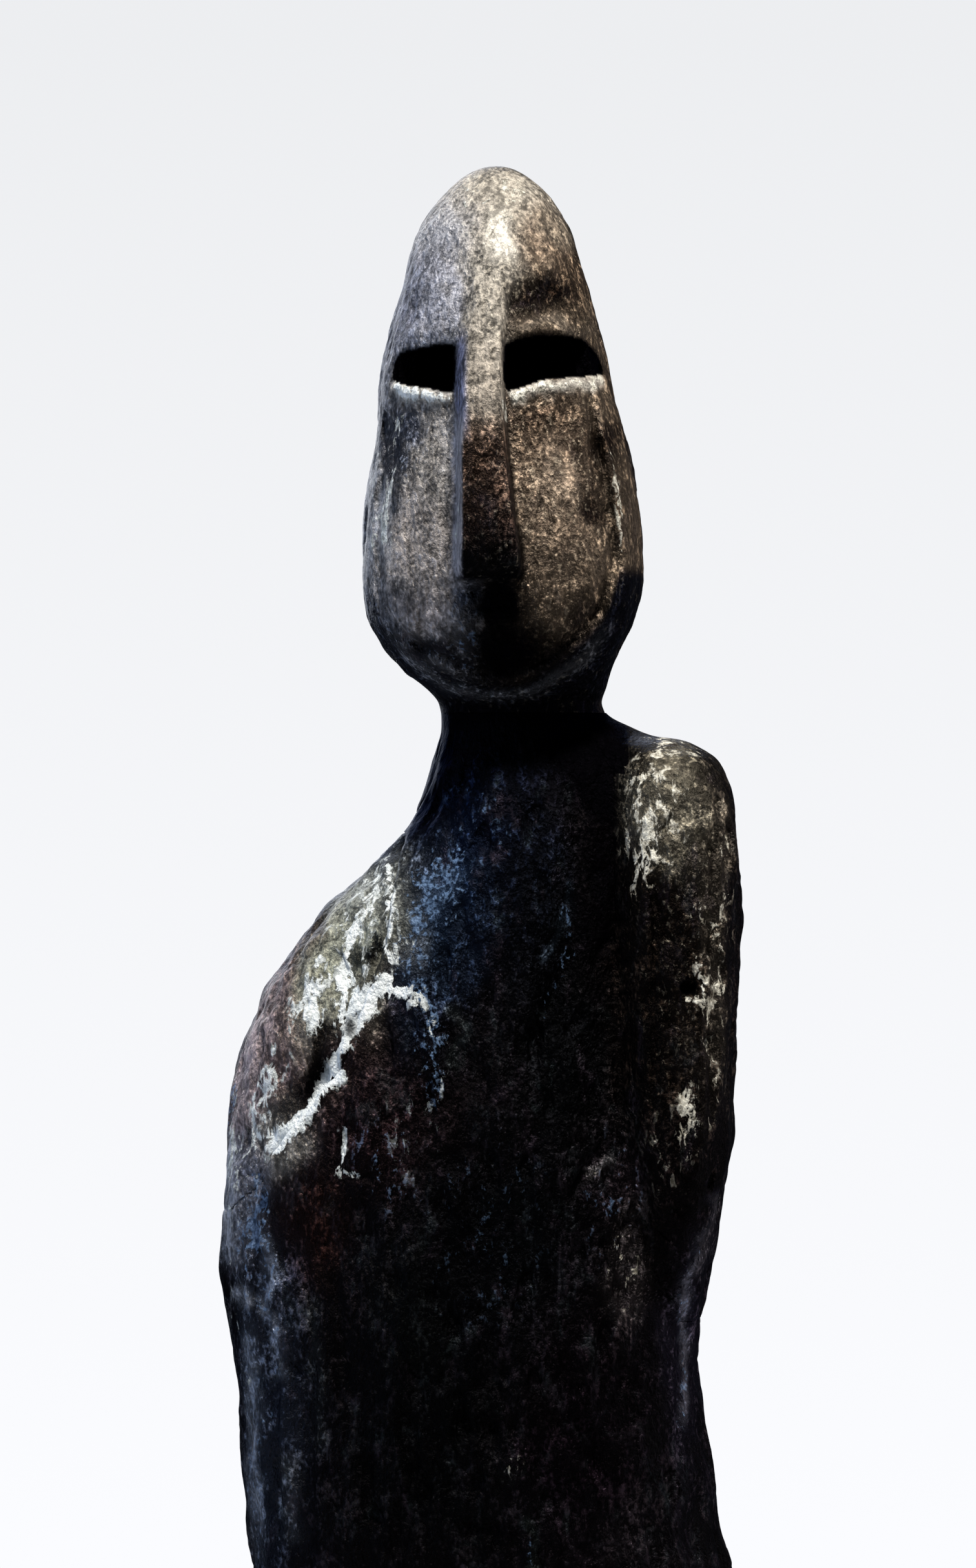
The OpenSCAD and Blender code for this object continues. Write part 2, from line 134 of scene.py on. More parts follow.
def lumps(x, y, drop, size, seed, stretch=1.0):
    """Smooth noise from -1 to 1: a sum of sine waves in random directions, `size` mm from crest to
    crest, and `stretch` times longer down the figure than across it."""
    random = np.random.default_rng(seed)
    ways = random.normal(size=(WAVES, 3))
    ways /= np.linalg.norm(ways, axis=1)[:, None]
    pitch = 2 * np.pi / (size * random.uniform(0.7, 1.5, WAVES))
    phases = random.uniform(0, 2 * np.pi, WAVES)
    total = sum(
        np.sin(p * (w[0] * x + w[1] * y + w[2] * drop / stretch) + f)
        for p, w, f in zip(pitch, ways, phases)
    )
    return np.clip(total / np.sqrt(WAVES) / NOISE_SPREAD, -1, 1)


def strayed(along, x, drop, waves):
    """x or drop led astray by noise, so that what is drawn with it has a broken edge. Each wave is
    (size in mm, seed, stretch, height in mm)."""
    for size, seed, stretch, height in waves:
        along = along + height * lumps(x, 0 * x, drop, size, seed, stretch)
    return along


def off_path(x, drop, path):
    """Distance from (x, drop) to a path of straight runs, how far along it the nearest place is from
    0 to 1, and the side: above 0 to the right of the way that the path runs down."""
    path = np.array(path, float)
    runs = np.linalg.norm(np.diff(path, axis=0), axis=1)
    before = np.concatenate([[0], np.cumsum(runs)])
    best = np.full(np.shape(x), 1e9)
    at = np.zeros(np.shape(x))
    side = np.zeros(np.shape(x))
    for (x0, d0), (x1, d1), run, start in zip(path[:-1], path[1:], runs, before):
        ex, ed = (x1 - x0) / run, (d1 - d0) / run
        along = np.clip((x - x0) * ex + (drop - d0) * ed, 0, run)
        gap_x, gap_d = x - x0 - along * ex, drop - d0 - along * ed
        gap = np.hypot(gap_x, gap_d)
        nearer = gap < best
        best = np.where(nearer, gap, best)
        at = np.where(nearer, (start + along) / before[-1], at)
        side = np.where(nearer, np.sign(gap_x * ed - gap_d * ex), side)
    return best, at, side


def stroke(x, drop, path, width, ends=0.12):
    """1 along a path, falling to 0 about `width` from it and towards its two ends."""
    gap, at, _ = off_path(x, drop, path)
    return np.exp(-((gap / width) ** 2)) * smooth(0, ends, at) * smooth(0, ends, 1 - at)


def spot(x, drop, place, reach, lean=0.0):
    """1 in the middle of an oval patch of half sizes `reach`, falling away outside it. The patch is
    turned by `lean` degrees."""
    c, s = np.cos(np.radians(lean)), np.sin(np.radians(lean))
    dx, dd = x - place[0], drop - place[1]
    u, v = (dx * c + dd * s) / reach[0], (dd * c - dx * s) / reach[1]
    return np.exp(-((u * u + v * v) ** 1.5))


def dabbed(total, x, drop, dabs):
    """A total with soft patches added: (place, half sizes, lean, amount)."""
    for place, reach, lean, amount in dabs:
        total = total + amount * spot(x, drop, place, reach, lean)
    return total


def lined(total, x, drop, lines, ends):
    """A total with strokes added: (path, half width, amount)."""
    for path, width, amount in lines:
        total = total + amount * stroke(x, drop, path, width, ends)
    return total


def band(value, rise_from, rise_to, fall_from, fall_to):
    """1 between two slopes: it rises over the first and falls over the second."""
    return smooth(rise_from, rise_to, value) * smooth(fall_to, fall_from, value)


def over(tone, colour, share):
    """A tone with another colour laid over it, by a share at each place."""
    return tone + (np.array(colour) - tone) * share[..., None]


# ---- meshes ---------------------------------------------------------------------------------------


def placed(x, y, drop):
    """Coordinates in metres, one row for each place."""
    points = np.stack(np.broadcast_arrays(x, y, -np.asarray(drop, float)), -1).reshape(-1, 3) * MM
    return points + (0, 0, CROWN)


def make_piece(name, points, faces, marks=None):
    """An object of the given points and faces, smooth shaded. Each attribute of marks has one number or
    one colour for each point."""
    mesh = bpy.data.meshes.new(name)
    mesh.from_pydata(points.tolist(), [], [f.tolist() for f in faces])
    mesh.polygons.foreach_set("use_smooth", np.ones(len(mesh.polygons), bool))
    for label, values in (marks or {}).items():
        values = np.asarray(values, np.float32).reshape(len(points), -1)
        if values.shape[1] == 3:
            solid = np.ones((len(points), 1), np.float32)
            layer = mesh.attributes.new(label, "FLOAT_COLOR", "POINT")
            layer.data.foreach_set("color", np.concatenate([values, solid], 1).ravel())
        else:
            mesh.attributes.new(label, "FLOAT", "POINT").data.foreach_set("value", values.ravel())
    mesh.update()
    piece = bpy.data.objects.new(name, mesh)
    bpy.context.scene.collection.objects.link(piece)
    return piece


def grid_faces(rows, columns, closed_round, closed_over=False):
    """Quads of a grid whose columns run round (joined up when closed_round) and whose rows run down.
    With closed_over the last row joins the first."""
    last_row = rows if closed_over else rows - 1
    last_column = columns if closed_round else columns - 1
    i, j = np.meshgrid(np.arange(last_row), np.arange(last_column), indexing="ij")
    i, j = i.ravel(), j.ravel()
    below, right = (i + 1) % rows, (j + 1) % columns
    return np.stack([i * columns + j, below * columns + j, below * columns + right, i * columns + right], 1)


def sharpen(piece, degrees):
    """Shades the piece smooth except over edges sharper than this."""
    piece.data.set_sharp_from_angle(angle=np.radians(degrees))


def turns(count):
    """Turns in radians once round, from back to back, closest together at the front: a step's length
    follows 1 - 0.42 cos."""
    t = np.linspace(-1, 1, count, endpoint=False)
    return np.radians(-90 + 180 * (t - 0.42 * np.sin(np.pi * t) / np.pi))


# ---- the surface of the castings ------------------------------------------------------------------


def flat(x, colour):
    """One colour at every place of x."""
    return np.zeros((*np.shape(x), 3)) + colour


def lay(coats, base, x, drop, seed):
    """A colour for each place: base, and over it each coat (x, drop, half width, half height, lean,
    colour, cover) as an oval whose edge is broken by noise."""
    wander_x = strayed(x, x, drop, [(9, seed, 1.6, 2.2), (3, seed + 1, 2, 0.9)])
    wander_d = strayed(drop, x, drop, [(10, seed + 2, 1.6, 3.4)])
    tone = base
    for at_x, at_drop, half_w, half_h, lean, colour, cover in coats:
        share = cover * spot(wander_x, wander_d, (at_x, at_drop), (half_w, half_h), lean)
        tone = over(tone, colour, np.clip(share, 0, 1))
    return tone


def marked(tone, residue, crust, rubbed, soot):
    """The five attributes that the patina reads; the fifth is painted shade."""
    return {
        "tone": tone, "residue": residue, "crust": crust, "rubbed": rubbed, "soot": np.clip(soot, 0, 1)
    }


HIDDEN_TONE = (0.003, 0.003, 0.003)


def plain_marks(shape):
    """The same attributes for an inner surface: dark, with painted shade all over."""
    zero = np.zeros(shape)
    return marked(zero[..., None] + HIDDEN_TONE, zero, zero, zero, zero + 1.0)


def pitted(x, y, drop, seed, depth=1.0):
    """The modelled skin of the wax: soft lumps, creases that run down where a wave crosses zero, and
    scattered pits, in millimetres outwards."""
    rise = 0.55 * lumps(x, y, drop, 26, seed, 1.5) + 0.38 * lumps(x, y, drop, 9, seed + 1, 1.8)
    rise = rise + 0.17 * lumps(x, y, drop, 3.8, seed + 2, 2.2)
    rise = rise + 0.07 * lumps(x, y, drop, 2.0, seed + 3, 1.6)
    crease = np.abs(lumps(x, y, drop, 13, seed + 4, 3.2))
    rise = rise + 0.5 * (np.sqrt(crease + 0.02) - 0.6)
    holes = smooth(0.42, 0.95, lumps(x, y, drop, 5.5, seed + 5, 1.9))
    return depth * (rise - 0.75 * holes)


# ---- the head -------------------------------------------------------------------------------------

# Rows of [square root of the drop, left, right, front, back, squareness]. The root keeps the crown round.
HEAD_CUTS = [
    [0.0, 1.3, 1.9, -2.0, 2.6, 2.0],
    [1.4, -4.6, 7.6, 3.4, 8.4, 2.0],
    [2.81, -10.3, 13.4, 9.2, 13.6, 2.0],
    [3.6, -13.5, 16.2, 13.4, 17.0, 2.05],
    [4.79, -16.4, 19.2, 19.0, 21.6, 2.15],
    [5.74, -18.9, 21.8, 22.6, 25.2, 2.25],
    [6.55, -20.9, 23.8, 23.6, 27.8, 2.35],
    [7.27, -21.6, 26.6, 24.6, 29.2, 2.4],
    [7.93, -23.1, 28.9, 26.6, 29.8, 2.45],
    [8.54, -23.9, 30.0, 28.2, 29.4, 2.45],
    [8.94, -24.1, 30.0, 28.6, 28.6, 2.45],
    [9.38, -22.9, 28.5, 27.6, 26.8, 2.4],
    [9.64, -20.4, 26.3, 25.4, 25.0, 2.35],
    [9.9, -16.1, 24.0, 21.4, 22.6, 2.25],
    [10.08, -11.6, 22.9, 17.0, 20.2, 2.15],
    [10.2, -9.6, 22.1, 13.6, 18.4, 2.05],
    [10.3, -9.1, 22.7, 12.3, 17.7, 2.0],
]

# The mask's edge: down the right side of the face, under the chin and up the left side.
MASK_EDGE = [
    (20.4, 43), (22.4, 55), (24.8, 67), (25.4, 78), (22.0, 87.2), (17.4, 92.4), (11.5, 96.9), (5.1, 99.3),
    (-2.4, 99.3), (-9.7, 96.4), (-15.7, 92.8), (-20.2, 88), (-22.7, 81), (-22.0, 66), (-20.2, 50),
    (-18.8, 43),
]
MASK_LOW = sorted(MASK_EDGE[3:13])
# The nose at each drop: its two sides, its rise over the face, and the width of each side's bevel.
NOSE_LEFT = [
    (10, -3), (22, -4.6), (30, -5.9), (36, -6.6), (44, -6.7), (52, -6.2), (66, -6.2), (79, -6.4), (84, -5.0)
]
NOSE_RIGHT = [(10, 5), (22, 5.2), (30, 4.4), (36, 3.5), (44, 3.4), (52, 3.8), (66, 5.2), (79, 6.7), (84, 5.6)]
NOSE_RISE = [
    (6, 0), (18, 0.7), (28, 1.9), (36, 4.6), (44, 7.8), (51, 9.0), (62, 8.8), (72, 8.2), (77, 7.4),
    (80, 4.6), (83, 0),
]
NOSE_BEVEL = [(10, 5.5), (26, 4.0), (36, 2.8), (47, 2.2), (58, 1.3), (80, 1.5)]
NOSE_RIGHT_BEVEL = [(10, 4.5), (26, 2.6), (40, 1.2), (80, 1.0)]
# The outlines of the two eye slots, and the lip along the foot of each.
LEFT_SLOT = [
    (-6.7, 36.3), (-8.6, 35.9), (-15.4, 36.9), (-17.2, 37.7), (-17.8, 39.6), (-18.0, 41.8), (-15.6, 42.9),
    (-10.6, 43.8), (-6.9, 44.4),
]
RIGHT_SLOT = [
    (3.6, 36.2), (8.0, 34.5), (13.0, 34.0), (18.0, 34.7), (20.6, 37.2), (21.9, 40.3), (18.4, 41.2),
    (10.5, 42.1), (3.7, 44.2),
]
LEFT_LIP = [(-18.4, 42.9), (-15.6, 44.4), (-10.6, 45.4), (-6.8, 46.1)]
RIGHT_LIP = [(3.8, 46.0), (7.0, 44.7), (10.5, 43.7), (18.4, 42.8), (22.4, 41.6)]

JAW_LINE = [
    (-22.4, 86), (-20.9, 89), (-15, 95.6), (-8.1, 101.2), (-1.3, 102.9), (8.1, 102.2), (18.4, 95.8),
    (25.2, 87.3),
]


def off_slot(x, drop, outline):
    """Distance outside a slot's outline, and less than 0 inside it. A place is inside when a line across
    from it crosses the outline an odd number of times."""
    gap, _, _ = off_path(x, drop, outline + outline[:1])
    within = np.zeros(np.shape(x), bool)
    for (x0, d0), (x1, d1) in zip(outline, outline[1:] + outline[:1]):
        crosses = (drop < d0) != (drop < d1)
        reach = x0 + (drop - d0) / ((d1 - d0) or 1.0) * (x1 - x0)
        within ^= crosses & (x < reach)
    return np.where(within, -gap, gap)


def blacken(piece, outside_hole, reach):
    """Paints shade on every point of a cut piece that is within reach of a hole's outline, or inside it: the
    dark hidden tone, and painted shade in full.
    """
    mesh = piece.data
    places = np.empty(len(mesh.vertices) * 3)
    mesh.vertices.foreach_get("co", places)
    x, y, height = places.reshape(-1, 3).T / MM
    at_hole = (outside_hole(x, CROWN / MM - height) < reach) & (y < 0)
    for label, value in plain_marks(len(x)).items():
        key, width = ("color", 4) if label == "tone" else ("value", 1)
        data = mesh.attributes[label].data
        old = np.empty(len(x) * width)
        data.foreach_get(key, old)
        old = old.reshape(len(x), width)
        old[at_hole, : 3 if width == 4 else 1] = value.reshape(len(x), -1)[at_hole]
        data.foreach_set(key, old.ravel())


# Hollows in the head's front: (place, half sizes, lean, rise).
HEAD_DABS = [
    ((11.2, 27.6), (7.6, 4.0), 2, -2.2), ((-10.5, 17), (4, 5), 0, -0.7), ((-13.5, 28.5), (3.6, 5), 0, -0.8),
    ((-11.5, 52), (5.5, 8), 0, -0.9), ((11.5, 50), (6.5, 7), 0, -0.9),
    ((21.0, 56.5), (1.6, 3.5), 0, -0.6), ((20.6, 67.6), (2.4, 3.0), 0, -0.8),
]
# Ridges and grooves on it: (path, half width, rise).
HEAD_LINES = [
    ([(2, 3), (0.5, 16), (-0.6, 30)], 6.5, 0.5), ([(5, 33.4), (12, 32.4), (19, 33.4)], 1.2, 0.7),
    ([(-16, 33.4), (-8, 32.4)], 1.5, 0.5), ([(-17.6, 48), (-18.8, 60), (-19.6, 76)], 1.0, -0.6),
    ([(0.5, 86), (1.5, 96)], 4.5, 0.6), (JAW_LINE, 0.8, 0.6),
]
HEAD_LIPS = [(LEFT_LIP, 1.4, 0.8), (RIGHT_LIP, 1.4, 0.8)]


def head_relief(x, drop):
    """Millimetres that the front of the head stands out past its plain cuts: a nose of nearly flat front
    between two bevelled sides, soft dents, rounded slot edges with lips, and the step of the mask."""
    left, right = follow(NOSE_LEFT, drop), follow(NOSE_RIGHT, drop)
    nose = follow(NOSE_RISE, drop)
    nose = nose * smooth(0, 1, (x - left) / follow(NOSE_BEVEL, drop))
    nose = nose * smooth(0, 1, (right - x) / follow(NOSE_RIGHT_BEVEL, drop))
    gap, at, side = off_path(x, drop, MASK_EDGE)
    inside = np.where(side > 0, 1, -1) * gap
    rim = 1.2 * smooth(-1.3, 0.8, inside) - 0.6 * np.exp(-(((gap - 1.3) / 0.8) ** 2)) * (inside < 0)
    rim = rim * smooth(38, 48, drop)
    edge_bead = 0.6 * np.exp(-((gap / 1.1) ** 2)) * smooth(0.0, 0.05, at) * (1 - smooth(0.2, 0.3, at))
    slots = np.minimum(off_slot(x, drop, LEFT_SLOT), off_slot(x, drop, RIGHT_SLOT))
    rolled = 1.5 * np.exp(-np.maximum(slots + 0.2, 0) / 0.8)
    relief = dabbed(nose + rim + edge_bead - rolled, x, drop, HEAD_DABS)
    return lined(lined(relief, x, drop, HEAD_LINES, 0.12), x, drop, HEAD_LIPS, 0.05)


def head_surface(turn, drop, sunk=0.0):
    """Places on the head's skin, or `sunk` mm inside it, for turns and drops of the same shape."""
    cut = section(HEAD_CUTS, np.sqrt(np.maximum(drop, 0)))
    radius = superellipse(cut, turn)
    x, y = cut[0] + radius * np.cos(turn), cut[1] + radius * np.sin(turn)
    if sunk:
        keep = np.maximum(1 - sunk / radius, 0.25)
        return cut[0] + (x - cut[0]) * keep, cut[1] + (y - cut[1]) * keep, drop
    front = smooth(0.02, 0.5, -np.sin(turn))
    swell = pitted(x, y, drop, 11, 0.62) + 0.06 * lumps(x, y, drop, 1.7, 19, 1.3)
    swell = swell * smooth(0, 8, drop) * (1 - smooth(97, NECK_DROP, drop))
    x = x + swell * np.cos(turn)
    y = y + swell * np.sin(turn) - front * head_relief(x, drop)
    return x, y, drop


# Tones over the head: (x, drop, half width, half height, lean, colour, cover). Some are painted light: a
# highlight on the forehead, and shade and shadow under the nose, the mask and the jaw.
HEAD_COATS = [
    (1, 4, 16, 10, 0, (0.31, 0.288, 0.25), 0.95),
    (0, 24, 5.5, 14, 0, (0.22, 0.205, 0.178), 0.9),
    # painted highlight of the key lamp on the forehead
    (2, 14, 2.8, 5.0, 0, (0.66, 0.64, 0.58), 0.9),
    (-10, 13, 5, 8, 10, (0.36, 0.37, 0.41), 0.8),
    (-10, 25, 5, 8, 0, (0.26, 0.27, 0.32), 0.8),
    (-15, 28, 4, 9, 8, (0.15, 0.16, 0.21), 0.8),
    (12, 15, 6, 8, -8, (0.185, 0.140, 0.103), 0.85),
    (17, 22, 4, 8, -8, (0.095, 0.067, 0.046), 0.85),
    (15, 12, 2.5, 5, -30, (0.24, 0.20, 0.155), 0.8),
    (11.2, 27.2, 8.4, 4.4, 2, (0.0075, 0.0045, 0.003), 1.0),
    (11, 33.4, 9, 1.5, 0, (0.165, 0.135, 0.105), 0.9),
    (-11, 56, 8, 14, 0, (0.20, 0.188, 0.176), 0.85),
    (-13.5, 74, 8, 12, 0, (0.26, 0.235, 0.22), 0.85),
    (-16.5, 54, 2.2, 7, 0, (0.055, 0.062, 0.085), 0.9),
    (-18.6, 68, 1.5, 9, -6, (0.30, 0.31, 0.33), 0.8),
    (13, 56, 10, 14, 0, (0.105, 0.075, 0.053), 0.9),
    (12, 70, 8, 13, 0, (0.165, 0.125, 0.092), 0.85),
    (9, 50, 5, 4, 0, (0.08, 0.056, 0.040), 0.8),
    (20.2, 55.0, 3.0, 6.0, -8, (0.020, 0.013, 0.009), 0.9),
    (19.6, 67.0, 3.2, 4.6, 0, (0.016, 0.010, 0.007), 0.95),
    (14, 62, 4, 6, 0, (0.21, 0.165, 0.125), 0.7),
    (-21.8, 66, 1.8, 18, -4, (0.28, 0.29, 0.32), 0.8),
    (-18.4, 58, 1.2, 14, -3, (0.07, 0.075, 0.095), 0.8),
    (-13, 87, 8, 5, 12, (0.17, 0.155, 0.155), 0.85),
    # painted shade along the mask's foot, where the face turns under
    (-11, 94.5, 9, 2.6, 16, (0.012, 0.012, 0.016), 0.9),
    (-4.6, 84, 2.4, 6, 0, (0.045, 0.055, 0.080), 0.85),
    (12, 86, 7, 6, 0, (0.11, 0.083, 0.060), 0.8),
    # painted shade at the lower right jaw and along the mask's foot
    (22, 90, 6, 6, -20, (0.012, 0.009, 0.009), 0.9),
    (14, 95, 9, 3.0, -16, (0.012, 0.009, 0.008), 0.9),
    # painted shadow that the nose casts, down to the chin
    (1.6, 84, 5.6, 5, 0, (0.0008, 0.0008, 0.0012), 1.0),
    (3.0, 94.5, 8.5, 6.0, 0, (0.0008, 0.0008, 0.0013), 1.0),
]
# The front of the nose at each drop, as (drop, red), (drop, green) and (drop, blue): pale and worn high up,
# and darkening to near black at the tip, partly dark patina and partly painted shade where the front faces
# down.
NOSE_TONES = [
    [
        (22, 0.22), (38, 0.22), (48, 0.195), (52, 0.12), (57, 0.052), (66, 0.030), (72, 0.014),
        (77, 0.0035), (81, 0.0012),
    ],
    [
        (22, 0.205), (38, 0.20), (48, 0.172), (52, 0.088), (57, 0.034), (66, 0.019), (72, 0.009),
        (77, 0.0028), (81, 0.0012),
    ],
    [
        (22, 0.178), (38, 0.172), (48, 0.145), (52, 0.067), (57, 0.025), (66, 0.014), (72, 0.0075),
        (77, 0.0028), (81, 0.0014),
    ],
]


NOSE_FADE = [(10, 3.0), (34, 1.4), (46, 0.5), (84, 0.35)]
BACK_OF_HEAD = (0.026, 0.021, 0.018)
BACK_COATS = [(2, 6, 20, 12, 0, (0.16, 0.145, 0.125), 0.9)]
# painted shade under the mask, and the lighter shade just under its edge
UNDER_MASK_SHADE = (0.0009, 0.0011, 0.0026)
UNDER_MASK_SHADE_EDGE = (0.0036, 0.0040, 0.0062)

# Pale residue, crust, rubbed wear and painted shade on the head: strokes of (path, half width, amount), and
# dabs.
# the lips under the slots: partly pale residue, partly a painted highlight where the top light catches them
HEAD_CHALK_LIPS = [(LEFT_LIP, 1.5, 0.95), (RIGHT_LIP, 1.1, 0.75)]
HEAD_CHALK_LINES = [
    ([(-17, 47), (-18.6, 60), (-20, 76)], 2.0, 0.4),
    ([(23.0, 55), (24.6, 62), (25.5, 72), (25.4, 78)], 0.8, 0.5), ([(3.0, 46), (3.1, 51)], 0.7, 0.6),
    ([(-5.6, 62), (-6.0, 77)], 0.6, 0.35), (JAW_LINE, 0.7, 0.12),
]
HEAD_CHALK_DABS = [((0, 6), (12, 9), 0, 0.25), ((-22, 62), (2, 16), 0, 0.25)]
HEAD_CRUST_DABS = [((-4.2, 91), (2.6, 8), 0, 0.3)]
HEAD_RUB_DABS = [((1, 12), (9, 18), 0, 0.4), ((13, 62), (10, 18), 0, 0.3)]
# Painted shade on the head: down the groove by the mask's right edge, the nose's cast shadow below it, and
# the chin under that.
HEAD_SHADE_LINES = [([(21.8, 52), (24.0, 66), (24.3, 78)], 1.0, 0.6)]
HEAD_SHADE_DABS = [((3.4, 94.6), (7.6, 7.5), 0, 1.08), ((2.0, 85.0), (5.2, 4.4), 0, 1.15)]


def nose_painted(tone, x, drop, left, right):
    """The head's tone with the nose's own laid on: its front, worn pale high up and darkening to near black
    at the tip, partly dark patina and partly painted shade; a painted cool light on the facet high on its
    left side; and painted light on the steep bevel below that."""
    fade, bevel = follow(NOSE_FADE, drop), follow(NOSE_BEVEL, drop)
    nose = smooth(0, 1, (x - left) / fade) * smooth(0, 1, (right - x) / fade) * band(drop, 16, 34, 80.4, 81.6)
    # painted cool light on the facet high on the nose's left side
    facet = band(x - left, -0.4, 0.4, 1.6, 3.2) * band(drop, 31, 37, 47, 56)
    worn_and_shaded = np.stack([follow(marks, drop) for marks in NOSE_TONES], -1)
    tone = over(tone, over(worn_and_shaded, (0.15, 0.165, 0.26), facet), nose)
    # painted light on the nose's steep left bevel, which the lamps leave in shade
    flank = band(x - left, -1.2, -0.2, 0.7 * bevel, 1.15 * bevel) * band(drop, 47, 53, 79, 81)
    return over(tone, (0.30, 0.30, 0.34), 0.9 * flank)


def head_marks(x, y, drop):
    """The head's finishes: a cool left and a warm right, partly the patina's colours and partly a painted
    tint of the cool and warm lamps; pale on the crown and ridge; painted shadow under the nose and painted
    shade under the mask; with chalk on the lips under the slots, partly a painted highlight, and along the
    mask's edge."""
    front = smooth(4, -8, y)
    # cool grey on the left and warm brown on the right: partly the patina's colours, partly a painted tint of
    # the cool and warm lamps
    tone = over(flat(x, (0.13, 0.135, 0.155)), (0.12, 0.092, 0.066), smooth(-7, 7, x))
    tone = lay(HEAD_COATS, tone, x, drop, 31)
    stray_d = strayed(drop, x, drop, [(4.5, 37, 1.0, 0.7), (1.7, 38, 1.0, 0.35)])
    # the lips under the slots painted pale: partly residue, partly a painted highlight
    for path in (LEFT_LIP, RIGHT_LIP):
        tone = over(tone, (0.60, 0.58, 0.53), 0.9 * stroke(x, stray_d, path, 1.4, 0.04))
    left, right = follow(NOSE_LEFT, drop), follow(NOSE_RIGHT, drop)
    tone = nose_painted(tone, x, drop, left, right)
    # painted shade under the mask's lower edge, a little lighter just under the edge, with a paler bluish
    # line along the jaw's ridge
    lighter_near_edge = (1 - smooth(100.5, 104, drop))[..., None]
    under = over(np.array(UNDER_MASK_SHADE_EDGE) * lighter_near_edge + UNDER_MASK_SHADE, (0.085, 0.092, 0.110),
                 0.8 * stroke(x, drop, JAW_LINE, 1.1, 0.2))
    tone = over(tone, under, smooth(-1.0, 2.5, drop - follow(MASK_LOW, x)))
    tone = over(lay(BACK_COATS, flat(x, BACK_OF_HEAD), x, drop, 35), tone, front)
    pale = lined(0.0, x, stray_d, HEAD_CHALK_LIPS, 0.04)
    pale = dabbed(lined(pale, x, drop, HEAD_CHALK_LINES, 0.12), x, drop, HEAD_CHALK_DABS)
    crust = dabbed(0.12 * smooth(-2, -12, x), x, drop, HEAD_CRUST_DABS)
    rub = dabbed(0.25, x, drop, HEAD_RUB_DABS)
    slots = np.minimum(off_slot(x, drop, LEFT_SLOT), off_slot(x, drop, RIGHT_SLOT))
    # painted shade round the slots, wider above where the brow overhangs them, and under the jaw at the neck
    rim = 1.5 - 1.2 * smooth(39, 42, drop)
    soot = 0.95 * smooth(0, 1, 1 - slots / rim) + 0.6 * smooth(102.6, 105, drop)
    soot = dabbed(lined(soot, x, drop, HEAD_SHADE_LINES, 0.12), x, drop, HEAD_SHADE_DABS)
    # painted shade down the nose's right side
    soot = soot + 0.8 * smooth(0.5, 0.0, np.abs(x - right - 0.1)) * band(drop, 55, 60, 79.5, 80.5)
    return marked(tone, pale * front, crust * front, rub * front + 0.2 * (1 - front), soot * front)


def loop_through(corners, count):
    """`count` places on a closed Catmull-Rom curve through the corners, flattened by half towards the
    straight runs between them."""
    corners = np.array(corners, float)
    s = np.linspace(0, len(corners), count, endpoint=False)
    i = s.astype(int)
    t = (s - i)[:, None]
    a, b, c, d = (corners[(i + k) % len(corners)] for k in (-1, 0, 1, 2))
    curve = 0.5 * (2 * b + t * (c - a) + t**2 * (2 * a - 5 * b + 4 * c - d) + t**3 * (3 * b - a - 3 * c + d))
    return (curve + b * (1 - t) + c * t) / 2


def prism(name, x, drop, y_front, y_back):
    """A closed prism along Y of the outline (x, drop), dark and with painted shade all over, to cut a hole
    with.
    """
    count = len(x)
    y = np.repeat([[y_front], [y_back]], count, 1)
    faces = [*grid_faces(2, count, True), np.arange(count), np.arange(count, 2 * count)[::-1]]
    points = placed(np.tile(x, (2, 1)), y, np.tile(drop, (2, 1)))
    tool = make_piece(name, points, faces, plain_marks(2 * count))
    tidy_normals(tool)
    return tool


def tidy_normals(piece):
    """Turns every face outwards."""
    work = bmesh.new()
    work.from_mesh(piece.data)
    bmesh.ops.recalc_face_normals(work, faces=work.faces)
    work.to_mesh(piece.data)
    work.free()


def cut_out(piece, cutter):
    """Takes the cutter out of the piece and throws the cutter away."""
    change = piece.modifiers.new("cut", "BOOLEAN")
    change.object, change.operation, change.solver = cutter, "DIFFERENCE", "EXACT"
    bpy.context.view_layer.update()
    with bpy.context.temp_override(object=piece, active_object=piece, selected_objects=[piece]):
        bpy.ops.object.modifier_apply(modifier=change.name)
    bpy.data.objects.remove(cutter)


def shell(name, surface, marks, drops, top_pole=False):
    """A hollow casting: its skin runs down the drops, and its inner wall, of fewer rows, back up. With
    top_pole both end in a point at the crown, and otherwise the two meet at the top and the bottom."""
    turn = turns(COLUMNS)[None, :]
    inner = np.linspace(drops[-1], drops[0] + (WALL if top_pole else 0.0), LINING_ROWS)
    skin = surface(*np.broadcast_arrays(turn, drops[:, None]))
    lining = surface(*np.broadcast_arrays(turn, inner[:, None]), sunk=WALL)
    points = placed(*(np.concatenate(pair) for pair in zip(skin, lining)))
    rows = len(drops) + LINING_ROWS
    faces = list(grid_faces(rows, COLUMNS, True, closed_over=not top_pole))
    within = plain_marks((LINING_ROWS, COLUMNS))
    values = {k: np.concatenate([v, within[k]]) for k, v in marks(*skin).items()}
    values = {k: v.reshape(rows * COLUMNS, -1) for k, v in values.items()}
    if top_pole:
        first, last, base = rows * COLUMNS, rows * COLUMNS + 1, (rows - 1) * COLUMNS
        points = np.concatenate([points, [points[:COLUMNS].mean(0), points[-COLUMNS:].mean(0)]])
        j = np.arange(COLUMNS)
        after = (j + 1) % COLUMNS
        faces += list(np.stack([0 * j + first, j, after], 1))
        faces += list(np.stack([0 * j + last, base + after, base + j], 1))
        values = {k: np.concatenate([v, v[:1], v[-1:]]) for k, v in values.items()}
    piece = make_piece(name, points, faces, values)
    tidy_normals(piece)
    return piece


CROWN_END = 12.0        # drop where the head's crowded crown rows end
SLOT_FRONT, SLOT_BACK = -46, -12     # y of the two ends of the slots' cutters


